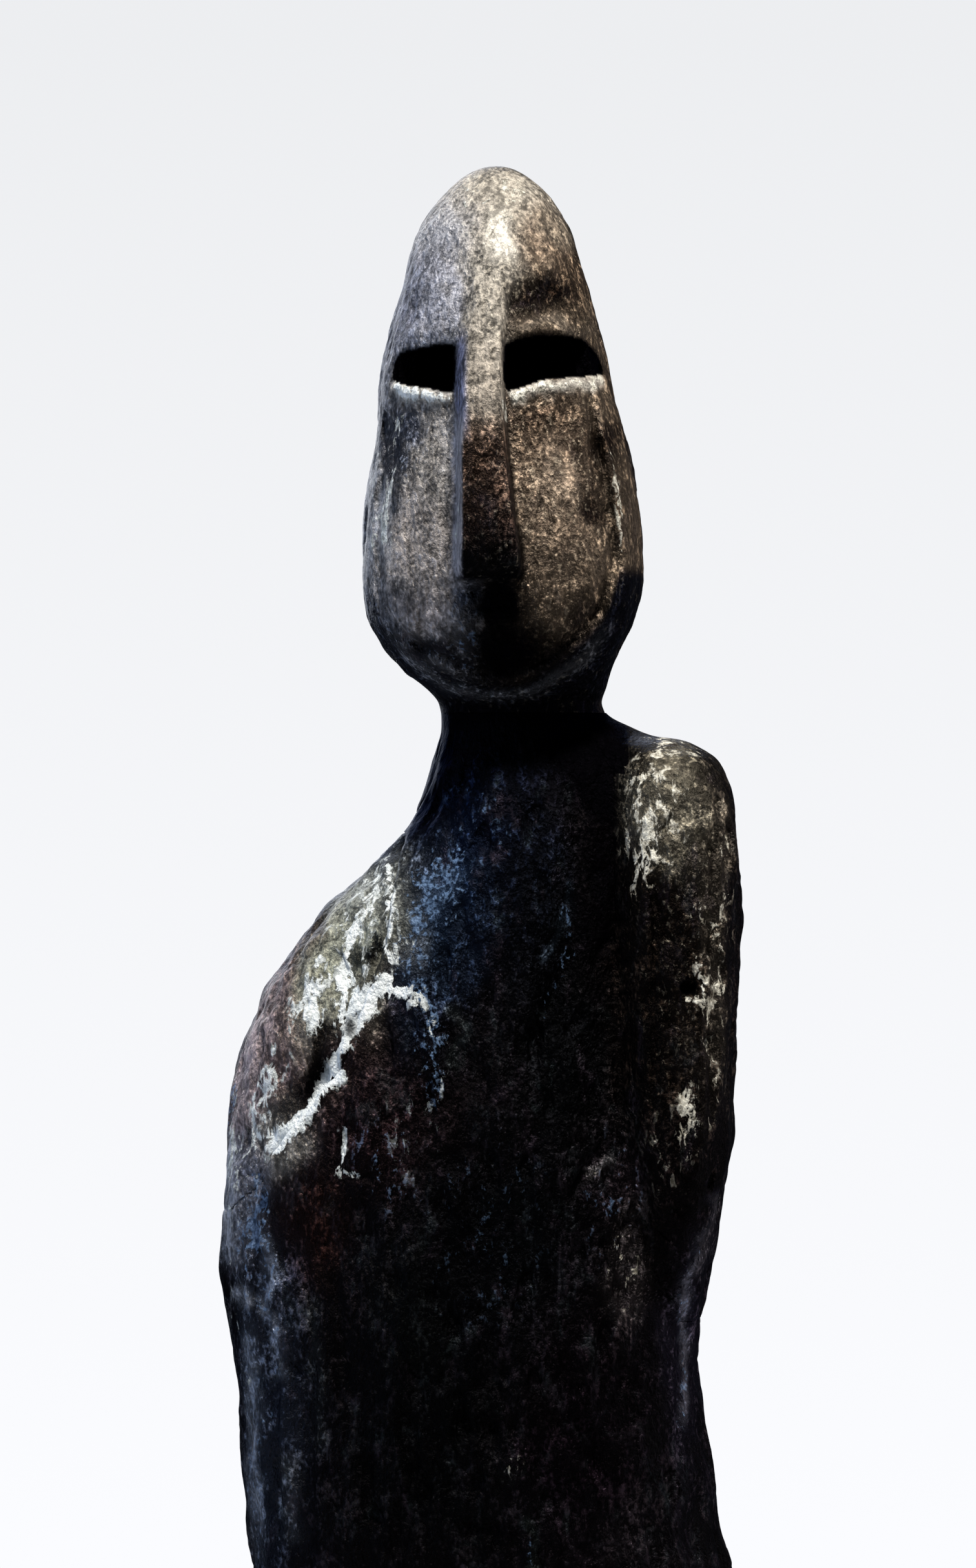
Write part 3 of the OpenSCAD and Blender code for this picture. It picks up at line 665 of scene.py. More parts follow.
def make_head():
    """The head, whose crown rows follow the square root of the drop, with two slots cut right through."""
    crown = np.linspace(0.25, np.sqrt(CROWN_END), 34) ** 2
    rest = np.linspace(CROWN_END, NECK_DROP, 218)[1:]
    head = shell("head", head_surface, head_marks, np.concatenate([crown, rest]), top_pole=True)
    for name, outline in (("left_slot", LEFT_SLOT), ("right_slot", RIGHT_SLOT)):
        x, drop = loop_through(outline, 96).T
        cut_out(head, prism(name, x, drop, SLOT_FRONT, SLOT_BACK))
        loop = list(zip(x, drop))
        blacken(head, lambda px, pd, loop=loop: off_slot(px, pd, loop), 0.3)
    sharpen(head, 50)
    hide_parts("head_shell")
    return head


# ---- the body -------------------------------------------------------------------------------------

# Rows of [drop, left, right, front, back, squareness].
BODY_CUTS = [
    [103, -9.4, 22.3, 12.0, 17.5, 2.0],
    [106, -9.1, 22.3, 12.3, 17.7, 2.0],
    [109, -9.0, 22.6, 12.8, 18.0, 2.0],
    [113, -9.8, 24.4, 14.0, 18.6, 2.0],
    [118, -11.3, 28.4, 15.8, 19.6, 2.1],
    [123, -12.9, 31.6, 17.4, 20.6, 2.15],
    [128, -15.8, 34.0, 18.8, 21.4, 2.2],
    [133, -19.8, 36.0, 20.0, 22.0, 2.2],
    [138, -24.9, 37.4, 21.0, 22.6, 2.2],
    [143, -30.2, 38.4, 21.8, 23.0, 2.2],
    [148, -34.2, 39.2, 22.6, 23.4, 2.2],
    [153, -38.0, 40.0, 23.2, 23.8, 2.2],
    [158, -41.6, 40.8, 23.9, 24.2, 2.2],
    [163, -43.9, 41.4, 24.6, 24.6, 2.2],
    [170, -47.2, 42.2, 25.5, 25.2, 2.2],
    [178, -49.0, 43.2, 26.6, 25.8, 2.2],
    [188, -50.6, 43.8, 27.8, 26.4, 2.25],
    [198, -51.5, 43.4, 28.8, 27.0, 2.3],
    [208, -51.3, 42.6, 29.6, 27.4, 2.3],
    [218, -50.4, 41.8, 30.2, 27.9, 2.35],
    [230, -48.9, 40.8, 30.6, 28.4, 2.4],
    [243, -47.3, 41.7, 30.6, 29.0, 2.4],
    [253, -46.8, 43.4, 30.4, 29.4, 2.4],
    [263, -46.0, 44.5, 30.0, 29.7, 2.4],
    [272, -45.2, 46.8, 30.0, 30.0, 2.4],
    [290, -44.4, 48.2, 30.2, 30.2, 2.4],
    [320, -44.2, 49.4, 30.6, 30.8, 2.4],
    [350, -44.8, 50.0, 31.0, 31.2, 2.4],
    [390, -46.0, 50.5, 32.0, 32.0, 2.45],
    [424, -47.0, 51.0, 33.0, 33.0, 2.5],
]

# The shoulder that joins the neck to the figure's left arm.
YOKE_CUTS = [
    [104, 2, 20.0, 8, 12, 2.0],
    [106, 2, 22.4, 8.4, 12.4, 2.1],
    [107, 2, 24.0, 8.7, 12.7, 2.1],
    [108, 2, 26.1, 9, 13, 2.2],
    [109.4, 2, 29.2, 9.5, 13.5, 2.3],
    [110.5, 2, 32.2, 10, 14, 2.4],
    [111.2, 3, 37.0, 10.5, 14, 2.5],
    [112.2, 4, 39.2, 12, 14.5, 2.6],
    [113.6, 5, 41.8, 13, 15, 2.7],
    [115.2, 6, 44.1, 14, 15.5, 2.8],
    [118, 8, 45.5, 15, 16, 2.9],
    [124, 10, 46.4, 16, 16.5, 3.0],
    [135, 12, 44.0, 14, 16.0, 3.0],
]

# The figure's left shoulder and forearm.
ARM_CUTS = [
    [110.9, 28.0, 34.0, 6.0, 8.0, 2.0],
    [111.6, 25.6, 37.8, 12.0, 10.0, 2.3],
    [113.0, 25.0, 41.0, 16.2, 12.0, 2.6],
    [114.4, 25.0, 43.2, 18.4, 13.5, 2.9],
    [116, 25.0, 44.8, 20.2, 14.5, 3.1],
    [118, 25.0, 45.8, 21.8, 15.5, 3.3],
    [122, 25.0, 46.9, 23.6, 16.6, 3.5],
    [128, 25.0, 47.2, 25.0, 17.4, 3.6],
    [138, 25.0, 48.0, 25.8, 18.0, 3.6],
    [150, 25.0, 47.9, 26.3, 18.0, 3.6],
    [163, 25.0, 47.7, 26.8, 18.0, 3.5],
    [178, 25.0, 47.1, 27.6, 17.4, 3.3],
    [188, 25.4, 46.8, 28.4, 15.6, 3.0],
    [198, 27.0, 45.0, 28.0, 11.0, 2.6],
    [208, 29.6, 42.8, 25.0, 4.0, 2.4],
    [218, 32.4, 41.0, 20.6, 0.0, 2.2],
    [228, 35.0, 38.0, 14.0, -4.0, 2.0],
]

# The groove inside the mantle's edge, down from the neck to the elbow of the figure's right arm.
MANTLE_GROOVE = [
    (-15.4, 122), (-16.6, 129), (-18.4, 137), (-20.2, 150), (-23.6, 160), (-26.8, 171), (-31.8, 178),
    (-41.4, 191), (-45.6, 197),
]

# Where each arm's casting ends: rows of [drop, x in front, x behind].
LEFT_SEAM = [
    [109.6, 28.2, 28.2], [110.6, 27.2, 27.4], [112, 25.6, 26.6], [116, 24.4, 26.0], [125, 24.2, 26.0],
    [160, 24.2, 26.0], [184, 24.4, 28.0], [198, 27.0, 33.0], [208, 30.0, 37.4], [216, 33.6, 39.4],
    [223, 38.6, 40.0],
]
RIGHT_SEAM = [
    [125.4, -13.8, -13.8], [129, -16.6, -15.8], [137, -18.4, -20.4], [150, -20.2, -28], [160, -23.6, -32],
    [171, -26.8, -36], [178, -31.8, -38.4], [191, -41.4, -43.5], [197, -46.0, -47.4], [202, -50.0, -50.2],
]


def axis(drop):
    """x and y of the line that a drop's turns are taken round. It leans towards the left arm, so that the
    front corner beside the chest is seen square on."""
    x = follow([(103, 6.6), (110, 9.4), (120, 11), (190, 10), (226, 3), (424, 3)], drop)
    y = follow([(103, 2.6), (120, 4), (190, 3), (226, 1), (424, 1)], drop)
    return x, y


MARCH_FROM, MARCH_STEP, MARCH_STEPS, HALVINGS = 72.0, 1.5, 46, 11
ABSENT = 9              # how steeply the yoke and the arm die away past the ends of their cuts


def past_ends(cuts, drop):
    """Millimetres that a drop is above the first of the cuts or below the last."""
    return np.maximum(cuts[0][0] - drop, 0) + np.maximum(drop - cuts[-1][0], 0)


def plain_radius(turn, drop):
    """Distance from the axis to the plain body: torso, shoulder yoke and left arm melted together, found
    by marching inwards from far out until the ray is inside, and then halving the last step."""
    torso, yoke, arm = (section(cuts, drop) for cuts in (BODY_CUTS, YOKE_CUTS, ARM_CUTS))
    off_yoke, off_arm = (ABSENT * past_ends(cuts, drop) for cuts in (YOKE_CUTS, ARM_CUTS))
    soft = follow([(104, 1.0), (110, 4.0), (124, 4.0)], drop)
    tight = follow([(110, 3.0), (118, 2.0), (190, 2.4), (206, 4.0), (218, 3.0), (228, 0.3)], drop)
    from_x, from_y = axis(drop)

    def beyond(radius):
        x, y = from_x + radius * np.cos(turn), from_y + radius * np.sin(turn)
        body = melt(outside(torso, x, y), outside(yoke, x, y) + off_yoke, soft)
        return melt(body, outside(arm, x, y) + off_arm, tight)

    far = np.full(np.shape(turn), MARCH_FROM)
    for _ in range(MARCH_STEPS):
        far = np.where(beyond(far) > 0, far - MARCH_STEP, far)
    near, far = far, far + MARCH_STEP
    for _ in range(HALVINGS):
        middle = (near + far) / 2
        is_out = beyond(middle) > 0
        near, far = np.where(is_out, near, middle), np.where(is_out, middle, far)
    return (near + far) / 2


TURN_HALVINGS = 18


def turn_at(x, drop, low, high):
    """The turn in degrees, between low and high, where the plain body reaches x at a drop, by halving."""
    low, high = np.full(len(drop), float(low)), np.full(len(drop), float(high))

    def reaches(degrees):
        turn = np.radians(degrees)
        return axis(drop)[0] + plain_radius(turn, drop) * np.cos(turn)

    rising = reaches(high) > reaches(low)
    for _ in range(TURN_HALVINGS):
        middle = (low + high) / 2
        past = (reaches(middle) > x) == rising
        low, high = np.where(past, low, middle), np.where(past, middle, high)
    return (low + high) / 2


def seam_turns(seam, front, back):
    """A seam as [drops, front turns, back turns] at every half millimetre of drop. Its two ends close to
    a point."""
    seam = np.array(seam, float)
    drop = np.arange(seam[0, 0], seam[-1, 0] + 0.5, 0.5)
    drop[-1] = seam[-1, 0]
    ahead = turn_at(np.interp(drop, seam[:, 0], seam[:, 1]), drop, *front)
    behind = turn_at(np.interp(drop, seam[:, 0], seam[:, 2]), drop, *back)
    return drop, np.minimum(ahead, behind), np.maximum(ahead, behind)


LEFT_ARM = seam_turns(LEFT_SEAM, (-85, 0), (0, 85))
RIGHT_ARM = seam_turns(RIGHT_SEAM, (-180, -100), (-262, -180))
SEAM_DEPTH = 0.15


def inside_seam(arm, turn, drop, radius):
    """Millimetres that a place is inside an arm's seam, and less than 0 outside it."""
    degrees = np.degrees(turn)
    degrees = np.where(degrees > 90, degrees - 360, degrees)
    drops, low, high = arm
    low, high = np.interp(drop, drops, low), np.interp(drop, drops, high)
    round_way = np.minimum(degrees - low, high - degrees) * np.pi / 180 * radius
    return np.minimum(round_way, np.minimum(drop - drops[0], drops[-1] - drop))


def body_relief(x, drop):
    """Millimetres that the front of the body stands out: the mantle's edge over its groove, the gouge
    in the shoulder, folds and creases."""
    gap, at, side = off_path(x, drop, MANTLE_GROOVE)
    run = smooth(0, 0.12, at) * smooth(0, 0.08, 1 - at)
    mantle = 1.9 * np.exp(-gap / 6) * (side > 0) + 0.8 * np.exp(-(((gap - 2.0) / 1.3) ** 2)) * (side > 0)
    hollow = 1.3 * np.exp(-(((gap - 5) / 4.0) ** 2)) * (side < 0)
    relief = (mantle - 2.4 * np.exp(-((gap / 1.3) ** 2)) - hollow) * run
    return lined(dabbed(relief, x, drop, BODY_DABS), x, drop, BODY_LINES, 0.1)


# Hollows and lumps: (place, half sizes, lean, rise).
BODY_DABS = [
    ((-34.4, 177.2), (2.8, 7.6), 33, -2.8), ((-22.4, 153), (1.3, 1.9), 0, -2.0),
    ((-26.4, 166.4), (1.3, 2.2), 0, -2.0), ((-29.5, 158), (3.2, 5), 15, -1.3),
    ((-38, 166), (4, 6), 20, 0.9), ((-33, 150), (3, 5), 20, 0.8), ((-46.3, 200), (1.6, 5), 0, -1.6),
    ((19, 194), (1.3, 5.5), 32, -1.3), ((26, 211), (3.4, 8), 0, -0.9), ((0, 244), (3.2, 5), 0, -1.0),
    ((4, 249.6), (2.2, 1.6), 0, 0.6), ((13, 158), (4, 12), 10, -0.9), ((32, 119), (4, 5), 0, 0.5),
    ((30, 116), (1.6, 1.4), 0, -0.9), ((38, 124), (1.8, 2.2), 0, -0.8), ((-15, 215), (7, 11), 0, 0.7),
    ((14, 232), (8, 14), 0, 0.6), ((-26, 206), (4, 7), 10, -0.8), ((4, 182), (5, 9), 0, 0.6),
]
# Grooves and ridges: (path, half width, rise).
BODY_LINES = [
    ([(-27.4, 184), (-28.2, 194), (-21, 195)], 1.0, -1.1),
    ([(-12, 146), (-13.8, 158), (-10.6, 170), (-10, 184)], 1.6, 0.8),
    ([(-17.4, 160), (-14, 161), (-10.4, 170), (-9.4, 182)], 0.9, 0.7),
    (
        [(-47.4, 200), (-45.2, 206), (-43.4, 212), (-43.8, 219), (-41.6, 227), (-41.2, 236), (-40, 262)],
        1.1, -1.2,
    ),
    (
        [(-45.6, 198), (-43.4, 206), (-41.4, 212), (-41.8, 219), (-39.6, 227), (-39.2, 236), (-38, 262)],
        1.2, 1.0,
    ),
    ([(-36.4, 206), (-35, 224), (-34.5, 250), (-33, 276)], 1.3, -0.9),
    ([(-47.8, 194), (-44.4, 196), (-44.0, 205), (-47.4, 208)], 0.8, -0.9),
    ([(40.4, 204), (38.8, 216), (37.6, 228), (36.8, 244)], 1.1, -1.2),
    ([(38.2, 206), (36.6, 218), (35.6, 232), (35, 246)], 1.4, 0.8),
    ([(-6.4, 248), (-5, 236), (1, 233), (4.4, 240), (5, 246)], 1.0, -0.7),
    ([(7.6, 262), (8, 275), (8.6, 292)], 1.4, 0.6), ([(33.8, 128), (32.6, 150), (31.6, 186)], 0.9, -0.8),
    ([(43.6, 124), (43.2, 150), (42.8, 188)], 0.8, -0.8),
    ([(40.6, 132), (40.2, 150), (40.4, 176)], 1.0, 0.5),
    ([(15.6, 140), (16, 152), (9.6, 166), (8, 176)], 1.3, -0.8),
    ([(-30, 205), (-29.4, 222), (-28, 240)], 1.2, -0.6), ([(22, 216), (21, 236), (21.6, 258)], 1.2, -0.6),
]


def robe_folds(turn, drop):
    """Shallow folds that hang round the robe: rounded crests at uneven turns, growing towards the hem."""
    total = 0.0
    for degrees, width, rise in ROBE_FOLDS:
        off = (np.degrees(turn) - degrees + 180) % 360 - 180 + 3.0 * np.sin(drop / 37 + degrees)
        total = total + rise * np.exp(-((off / width) ** 2))
    return total * smooth(262, 345, drop) - 0.5 * smooth(270, 345, drop)


ROBE_FOLDS = [
    (-128, 9, 1.5), (-104, 8, 1.1), (-79, 10, 1.6), (-52, 8, 1.3), (-22, 10, 1.2), (14, 12, 1.3),
    (48, 11, 1.5), (84, 12, 1.4), (122, 12, 1.5), (160, 11, 1.2), (198, 9, 1.3),
]


PIT_DEPTHS = [(290, 1.25), (330, 1.0)]      # shallower over the robe, where plugs lie under the skin
KNOBBLY = 0.42          # height of the fine lumps on both shoulders


def body_surface(turn, drop, sunk=0.0):
    """Places on the body's skin, or `sunk` mm inside it."""
    radius = plain_radius(turn, drop)
    from_x, from_y = axis(drop)
    x, y = from_x + radius * np.cos(turn), from_y + radius * np.sin(turn)
    front = smooth(-2, -12, y)
    swell = pitted(x, y, drop, 41, follow(PIT_DEPTHS, drop)) * smooth(NECK_DROP, 120, drop)
    knobbly = spot(x, drop, (-32, 160), (17, 34), 24) + spot(x, drop, (35, 140), (13, 40))
    swell = swell + KNOBBLY * knobbly * lumps(x, y, drop, 3.3, 47, 1.3) * front
    swell = swell + front * body_relief(x, drop) + robe_folds(turn, drop)
    swell = swell - SEAM_DEPTH * np.exp(-(((drop - WAIST_DROP) / 0.45) ** 2))
    for arm in (LEFT_ARM, RIGHT_ARM):
        swell = swell - SEAM_DEPTH * np.exp(-((inside_seam(arm, turn, drop, radius) / 0.5) ** 2))
    radius = radius + swell - sunk
    return from_x + radius * np.cos(turn), from_y + radius * np.sin(turn), drop


LET_IN = 2.0            # how far the torso's skin lies under an arm's


def torso_surface(turn, drop, sunk=0.0):
    """The body's skin, let in under each arm."""
    x, y, drop = body_surface(turn, drop, sunk)
    if sunk:
        return x, y, drop
    from_x, from_y = axis(drop)
    radius = np.hypot(x - from_x, y - from_y)
    under = sum(smooth(0.1, 0.9, inside_seam(arm, turn, drop, radius)) for arm in (LEFT_ARM, RIGHT_ARM))
    keep = 1 - LET_IN * under / radius
    return from_x + (x - from_x) * keep, from_y + (y - from_y) * keep, drop


# Tones over the body, as on the head.
BODY_COATS = [
    # painted shade on the neck under the head
    (6, 112, 18, 9, 0, (0.0012, 0.0014, 0.0032), 0.95),
    (-6, 134, 13, 18, 12, (0.0036, 0.0085, 0.027), 0.95),
    (-9, 150, 8, 16, 14, (0.014, 0.025, 0.050), 0.9),
    (-9, 140, 3.6, 6, 10, (0.045, 0.080, 0.155), 0.8),
    (-14.6, 148, 3.6, 9, 10, (0.085, 0.110, 0.150), 0.75),
    (-15, 142, 4, 12, 14, (0.045, 0.055, 0.072), 0.7),
    (8, 140, 9, 24, 0, (0.0018, 0.0026, 0.0052), 0.95),
    (14, 170, 12, 26, 0, (0.0016, 0.0018, 0.0022), 0.9),
    (-40, 168, 14, 26, 24, (0.155, 0.105, 0.102), 0.9),
    (-28.5, 155, 7.5, 16, 24, (0.25, 0.265, 0.21), 0.88),
    (-22, 141, 4.5, 11, 20, (0.20, 0.215, 0.205), 0.82),
    # painted shade in the dent
    (-23, 153, 1.6, 2.4, 0, (0.006, 0.006, 0.006), 0.9),
    (-41, 186, 6, 7, 30, (0.24, 0.235, 0.215), 0.85),
    # painted shade in the deep gouge
    (-34.6, 177.4, 3.2, 8, 33, (0.006, 0.004, 0.003), 1.0),
    (-30, 168, 1.8, 6, 28, (0.012, 0.010, 0.008), 0.9),
    (-20, 184, 12, 14, 0, (0.010, 0.0055, 0.0062), 0.95),
    (-36, 206, 9, 11, 0, (0.016, 0.0065, 0.005), 0.85),
    (-46.5, 174, 4.6, 17, 10, (0.30, 0.25, 0.265), 0.88),
    (-46.5, 200, 4.5, 13, 0, (0.14, 0.15, 0.19), 0.85),
    (-42, 245, 7, 34, 0, (0.024, 0.029, 0.044), 0.9),
    (-46, 250, 2.2, 30, 0, (0.09, 0.105, 0.14), 0.8),
    (37, 150, 12, 40, 0, (0.016, 0.011, 0.0075), 0.9),
    (34.5, 124, 8, 12, 0, (0.16, 0.145, 0.11), 0.95),
    (43, 130, 4, 14, 0, (0.07, 0.060, 0.048), 0.8),
    (43.5, 155, 3.4, 24, 0, (0.075, 0.064, 0.052), 0.8),
    (31.5, 165, 5.5, 24, 0, (0.0035, 0.0022, 0.0016), 0.95),
    (37, 198, 10, 14, 0, (0.0042, 0.0028, 0.0026), 0.95),
    (26.6, 213, 4.6, 9, 0, (0.045, 0.038, 0.040), 0.9),
    (25, 262, 7, 5, 0, (0.018, 0.015, 0.018), 0.8),
    (4.6, 249, 3, 2.4, 0, (0.016, 0.018, 0.018), 0.8),
    (24, 196, 6, 5, 30, (0.022, 0.016, 0.020), 0.8),
    (6, 206, 6, 10, 0, (0.007, 0.010, 0.011), 0.7),
    (-14, 222, 7, 12, 0, (0.006, 0.008, 0.007), 0.7),
    (10, 258, 9, 7, 0, (0.007, 0.006, 0.008), 0.7),
    (0, 210, 18, 22, 0, (0.0016, 0.0019, 0.0026), 0.95),
    (-12, 246, 18, 26, 0, (0.0016, 0.0017, 0.0020), 0.95),
    (18, 244, 13, 26, 0, (0.0036, 0.0021, 0.0034), 0.95),
    (37.5, 230, 4.5, 22, 0, (0.018, 0.015, 0.024), 0.85),
]


# Pale runs over the dark tones: (path, half width, colour, cover).
BODY_RUNS = [
    (
        [(-46.4, 199), (-43.9, 206), (-41.8, 212), (-42.2, 219), (-39.9, 227), (-39.7, 237)], 1.0,
        (0.15, 0.175, 0.23), 0.85,
    ),
    ([(-49.6, 186), (-50.2, 200), (-49.4, 214)], 1.3, (0.26, 0.28, 0.33), 0.8),
    ([(-48.6, 216), (-45.0, 219)], 1.6, (0.24, 0.26, 0.31), 0.8),
    ([(-46.6, 222), (-45.4, 240), (-44.6, 252), (-43.9, 264)], 1.2, (0.15, 0.18, 0.24), 0.8),
    ([(-38.2, 246), (-37.4, 258), (-37.6, 268)], 2.0, (0.045, 0.050, 0.062), 0.8),
    ([(-33.5, 214), (-32.6, 232), (-32.2, 250)], 1.0, (0.022, 0.024, 0.026), 0.8),
    ([(40.8, 206), (38.6, 216), (37.6, 228), (37.3, 244)], 0.8, (0.13, 0.135, 0.19), 0.8),
    ([(43.4, 196), (42.0, 206), (40.4, 216)], 1.0, (0.08, 0.075, 0.095), 0.7),
    ([(8.2, 258), (8.8, 268), (8.4, 276)], 0.8, (0.020, 0.026, 0.026), 0.8),
    ([(19, 196), (21.4, 193.6), (24, 190)], 0.7, (0.10, 0.095, 0.10), 0.8),
    ([(15.6, 138), (15.2, 146), (10.4, 154)], 0.8, (0.020, 0.028, 0.040), 0.8),
    ([(-7.6, 160), (-5.2, 166), (-6.4, 176)], 0.8, (0.030, 0.036, 0.038), 0.8),
]


def body_marks(x, y, drop):
    """The body's finishes: near black, blue on the chest and purple-brown on the shoulders, with chalk in the
    mantle's groove and on the shoulders, crust in the creases, and painted shadow under the head and beside
    the arm."""
    front = smooth(6, -6, y)
    other = 1 - front
    tone = lay(BODY_COATS, flat(x, (0.0045, 0.0035, 0.0042)), x, drop, 51)
    stray_x = strayed(x, x, drop, [(6, 71, 1.3, 0.9), (2.2, 72, 1.3, 0.4)])
    stray_d = strayed(drop, x, drop, [(7, 73, 1.3, 1.2), (2.4, 74, 1.3, 0.5)])
    for path, width, colour, cover in BODY_RUNS:
        tone = over(tone, colour, cover * stroke(stray_x, stray_d, path, width, 0.15))
    tone = over(tone, (0.016, 0.0135, 0.0135), smooth(275, 330, drop))
    warm = 0.5 + 0.5 * lumps(x, y, drop, 38, 61, 1.5)
    tone = over(over(flat(x, (0.016, 0.018, 0.021)), (0.030, 0.021, 0.016), warm), tone, front)
    pale = dabbed(lined(0.0, stray_x, stray_d, CHALK_LINES, 0.04), stray_x, stray_d, CHALK_DABS)
    crust = dabbed(lined(0.0, stray_x, stray_d, CRUST_LINES, 0.06), stray_x, stray_d, CRUST_DABS)
    rub = dabbed(0.08, x, drop, BODY_RUB_DABS)
    # painted shadows on the chest: the arm's beside it and the head's left of the neck; painted shade under
    # the jaw and on the back under the head
    shadow_beside_arm = band(x, 13, 22, 26.2, 27.6) * smooth(107, 111, drop) * (1 - smooth(138, 176, drop))
    shadow_beside_neck = smooth(-3, -9, x + 0.3 * np.maximum(drop - 112, 0)) * smooth(136, 122, drop)
    soot = 0.97 * shadow_beside_arm + 0.95 * shadow_beside_neck + 0.6 * smooth(110, 106, drop)
    soot = dabbed(soot, x, drop, BODY_SHADE_DABS) * front + 0.9 * other * smooth(132, 112, drop)
    pale = pale * front + 0.14 * other * (0.5 + 0.5 * lumps(x, y, drop, 24, 63, 2.0))
    return marked(tone, pale, crust * front + 0.1 * other, rub * front + 0.16 * other, soot)


LOST_PIN = (38.2, 158.4)             # (x, drop) of the hole that a core pin left in the left arm
LOST_PIN_RADIUS = 1.35
DRILL_FRONT, DRILL_BACK = -40, -22   # y of the two ends of the hole's cutter
BODY_RUB_DABS = [((-34, 160), (12, 30), 25, 0.35), ((38, 146), (9, 36), 0, 0.3)]
# Painted shade under the head, beside the arm, in the gouge and the dents, and round the core pin's hole.
BODY_SHADE_DABS = [
    ((4, 108), (20, 9), 0, 0.6), ((18.5, 112), (9, 9), 0, 0.95), ((-34.2, 177), (2.0, 6), 33, 0.9),
    (LOST_PIN, (1.6, 1.5), 0, 0.8), ((-22.4, 153), (1.2, 1.8), 0, 0.9),
    ((-26.4, 166.4), (1.2, 2.0), 0, 0.9),
]
# Pale residue and blue-grey crust on the body: strokes of (path, half width, amount), and dabs.
CHALK_LINES = [
    ([(-18.9, 156), (-23.0, 161), (-26.0, 168), (-30.2, 176), (-36.6, 185), (-41.8, 192)], 1.6, 1.35),
    ([(-20.2, 158), (-17.0, 160.5), (-13.4, 163)], 1.5, 1.0),
    ([(-16.6, 128), (-18.4, 137), (-20.0, 150), (-18.9, 156)], 1.0, 0.66),
    ([(-27.4, 184), (-28.2, 194), (-21, 195)], 0.9, 0.7),
    ([(45, 128), (44, 150), (43.4, 186)], 2.0, 0.24), ([(40.6, 132), (40.2, 150), (40.4, 176)], 1.0, 0.24),
    ([(36, 138), (35, 172)], 1.4, 0.14), ([(18, 196.4), (21, 194)], 0.7, 0.26),
    ([(-26, 147), (-27.4, 158), (-27.6, 166)], 1.0, 0.55), ([(-33, 152), (-34.5, 166)], 1.2, 0.5),
    ([(-48.6, 178), (-49.6, 196), (-48.6, 216), (-46.4, 244)], 0.9, 0.3),
    ([(-17.4, 160), (-13.6, 160), (-10.6, 169)], 1.1, 0.4),
]
CHALK_DABS = [
    ((-27, 156), (5.0, 12), 22, 0.5), ((-23, 141), (3, 9), 20, 0.45), ((-40, 187.5), (4.0, 4.5), 30, 0.55),
    ((-42.6, 177), (3, 9), 15, 0.5), ((-36, 163), (4, 8), 20, 0.35), ((31.8, 124.5), (6.4, 10.5), 0, 0.52),
    ((30.5, 137), (4.0, 8), 0, 0.3), ((38.2, 160.9), (1.5, 0.7), 0, 0.65),
    ((40.9, 157.8), (0.6, 1.3), 0, 0.4), ((38.5, 183), (1.8, 6), 0, 0.3), ((26, 211), (3.8, 8.5), 0, 0.26),
    ((4, 249.6), (2.6, 2), 0, 0.2), ((36, 112), (10, 3), 0, 0.3), ((42.5, 148), (4.0, 26), 0, 0.16),
    ((35, 190), (7, 14), 0, 0.12), ((-46, 190), (4, 14), 12, 0.3), ((-14, 186), (7, 12), 0, 0.14),
    ((-8, 172), (5, 9), 0, 0.16), ((-17.5, 150), (3, 8), 10, 0.35), ((-30, 146), (5, 4), 30, 0.25),
]
CRUST_LINES = [
    ([(-17.4, 158), (-13, 161), (-10, 172), (-9, 184)], 1.5, 0.4),
    ([(-44.2, 194), (-43.8, 205), (-46, 209)], 1.4, 0.6),
    ([(-46, 200), (-43.9, 206), (-41.8, 212), (-42.2, 219), (-39.9, 227), (-39.7, 236)], 1.0, 0.3),
    ([(40.5, 206), (38, 219), (37.2, 232), (37, 246)], 1.0, 0.26),
    ([(15.6, 140), (16, 152), (9.6, 166)], 1.2, 0.28), ([(7.8, 262), (8.4, 288)], 0.9, 0.35),
    ([(-49, 178), (-50.2, 190)], 1.0, 0.6),
]
CRUST_DABS = [
    ((-9, 140), (4.4, 7.5), 10, 0.56), ((-14, 149), (5, 9.5), 10, 0.5), ((-11, 168), (3.4, 12), 0, 0.3),
    ((-44, 250), (3, 22), 0, 0.2), ((-46, 205), (3, 20), 0, 0.24), ((-4, 130), (9, 16), 0, 0.16),
    ((0, 205), (14, 24), 0, 0.1), ((-20, 190), (8, 12), 0, 0.16), ((24, 200), (6, 14), 0, 0.16),
]


SHOULDER_END = 116      # drop where the crowded rows over the shoulder end
EDGE_ANGLE = 60         # an edge sharper than this many degrees stays sharp


def make_torso():
    """The torso with its neck. Its rows are closest together over the shoulder."""
    neck = np.linspace(NECK_DROP, SHOULDER_END, 72)
    drops = np.append(neck, np.linspace(SHOULDER_END, WAIST_DROP, 204)[1:])
    torso = shell("torso", torso_surface, body_marks, drops)
    sharpen(torso, EDGE_ANGLE)
    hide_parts("torso_shell")
    return torso


def make_robe():
    """The robe, from the waist seam to the hem."""
    robe = shell("robe", body_surface, body_marks, np.linspace(WAIST_DROP, FIGURE_H, 200))
    sharpen(robe, EDGE_ANGLE)
    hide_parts("robe_shell")
    return robe


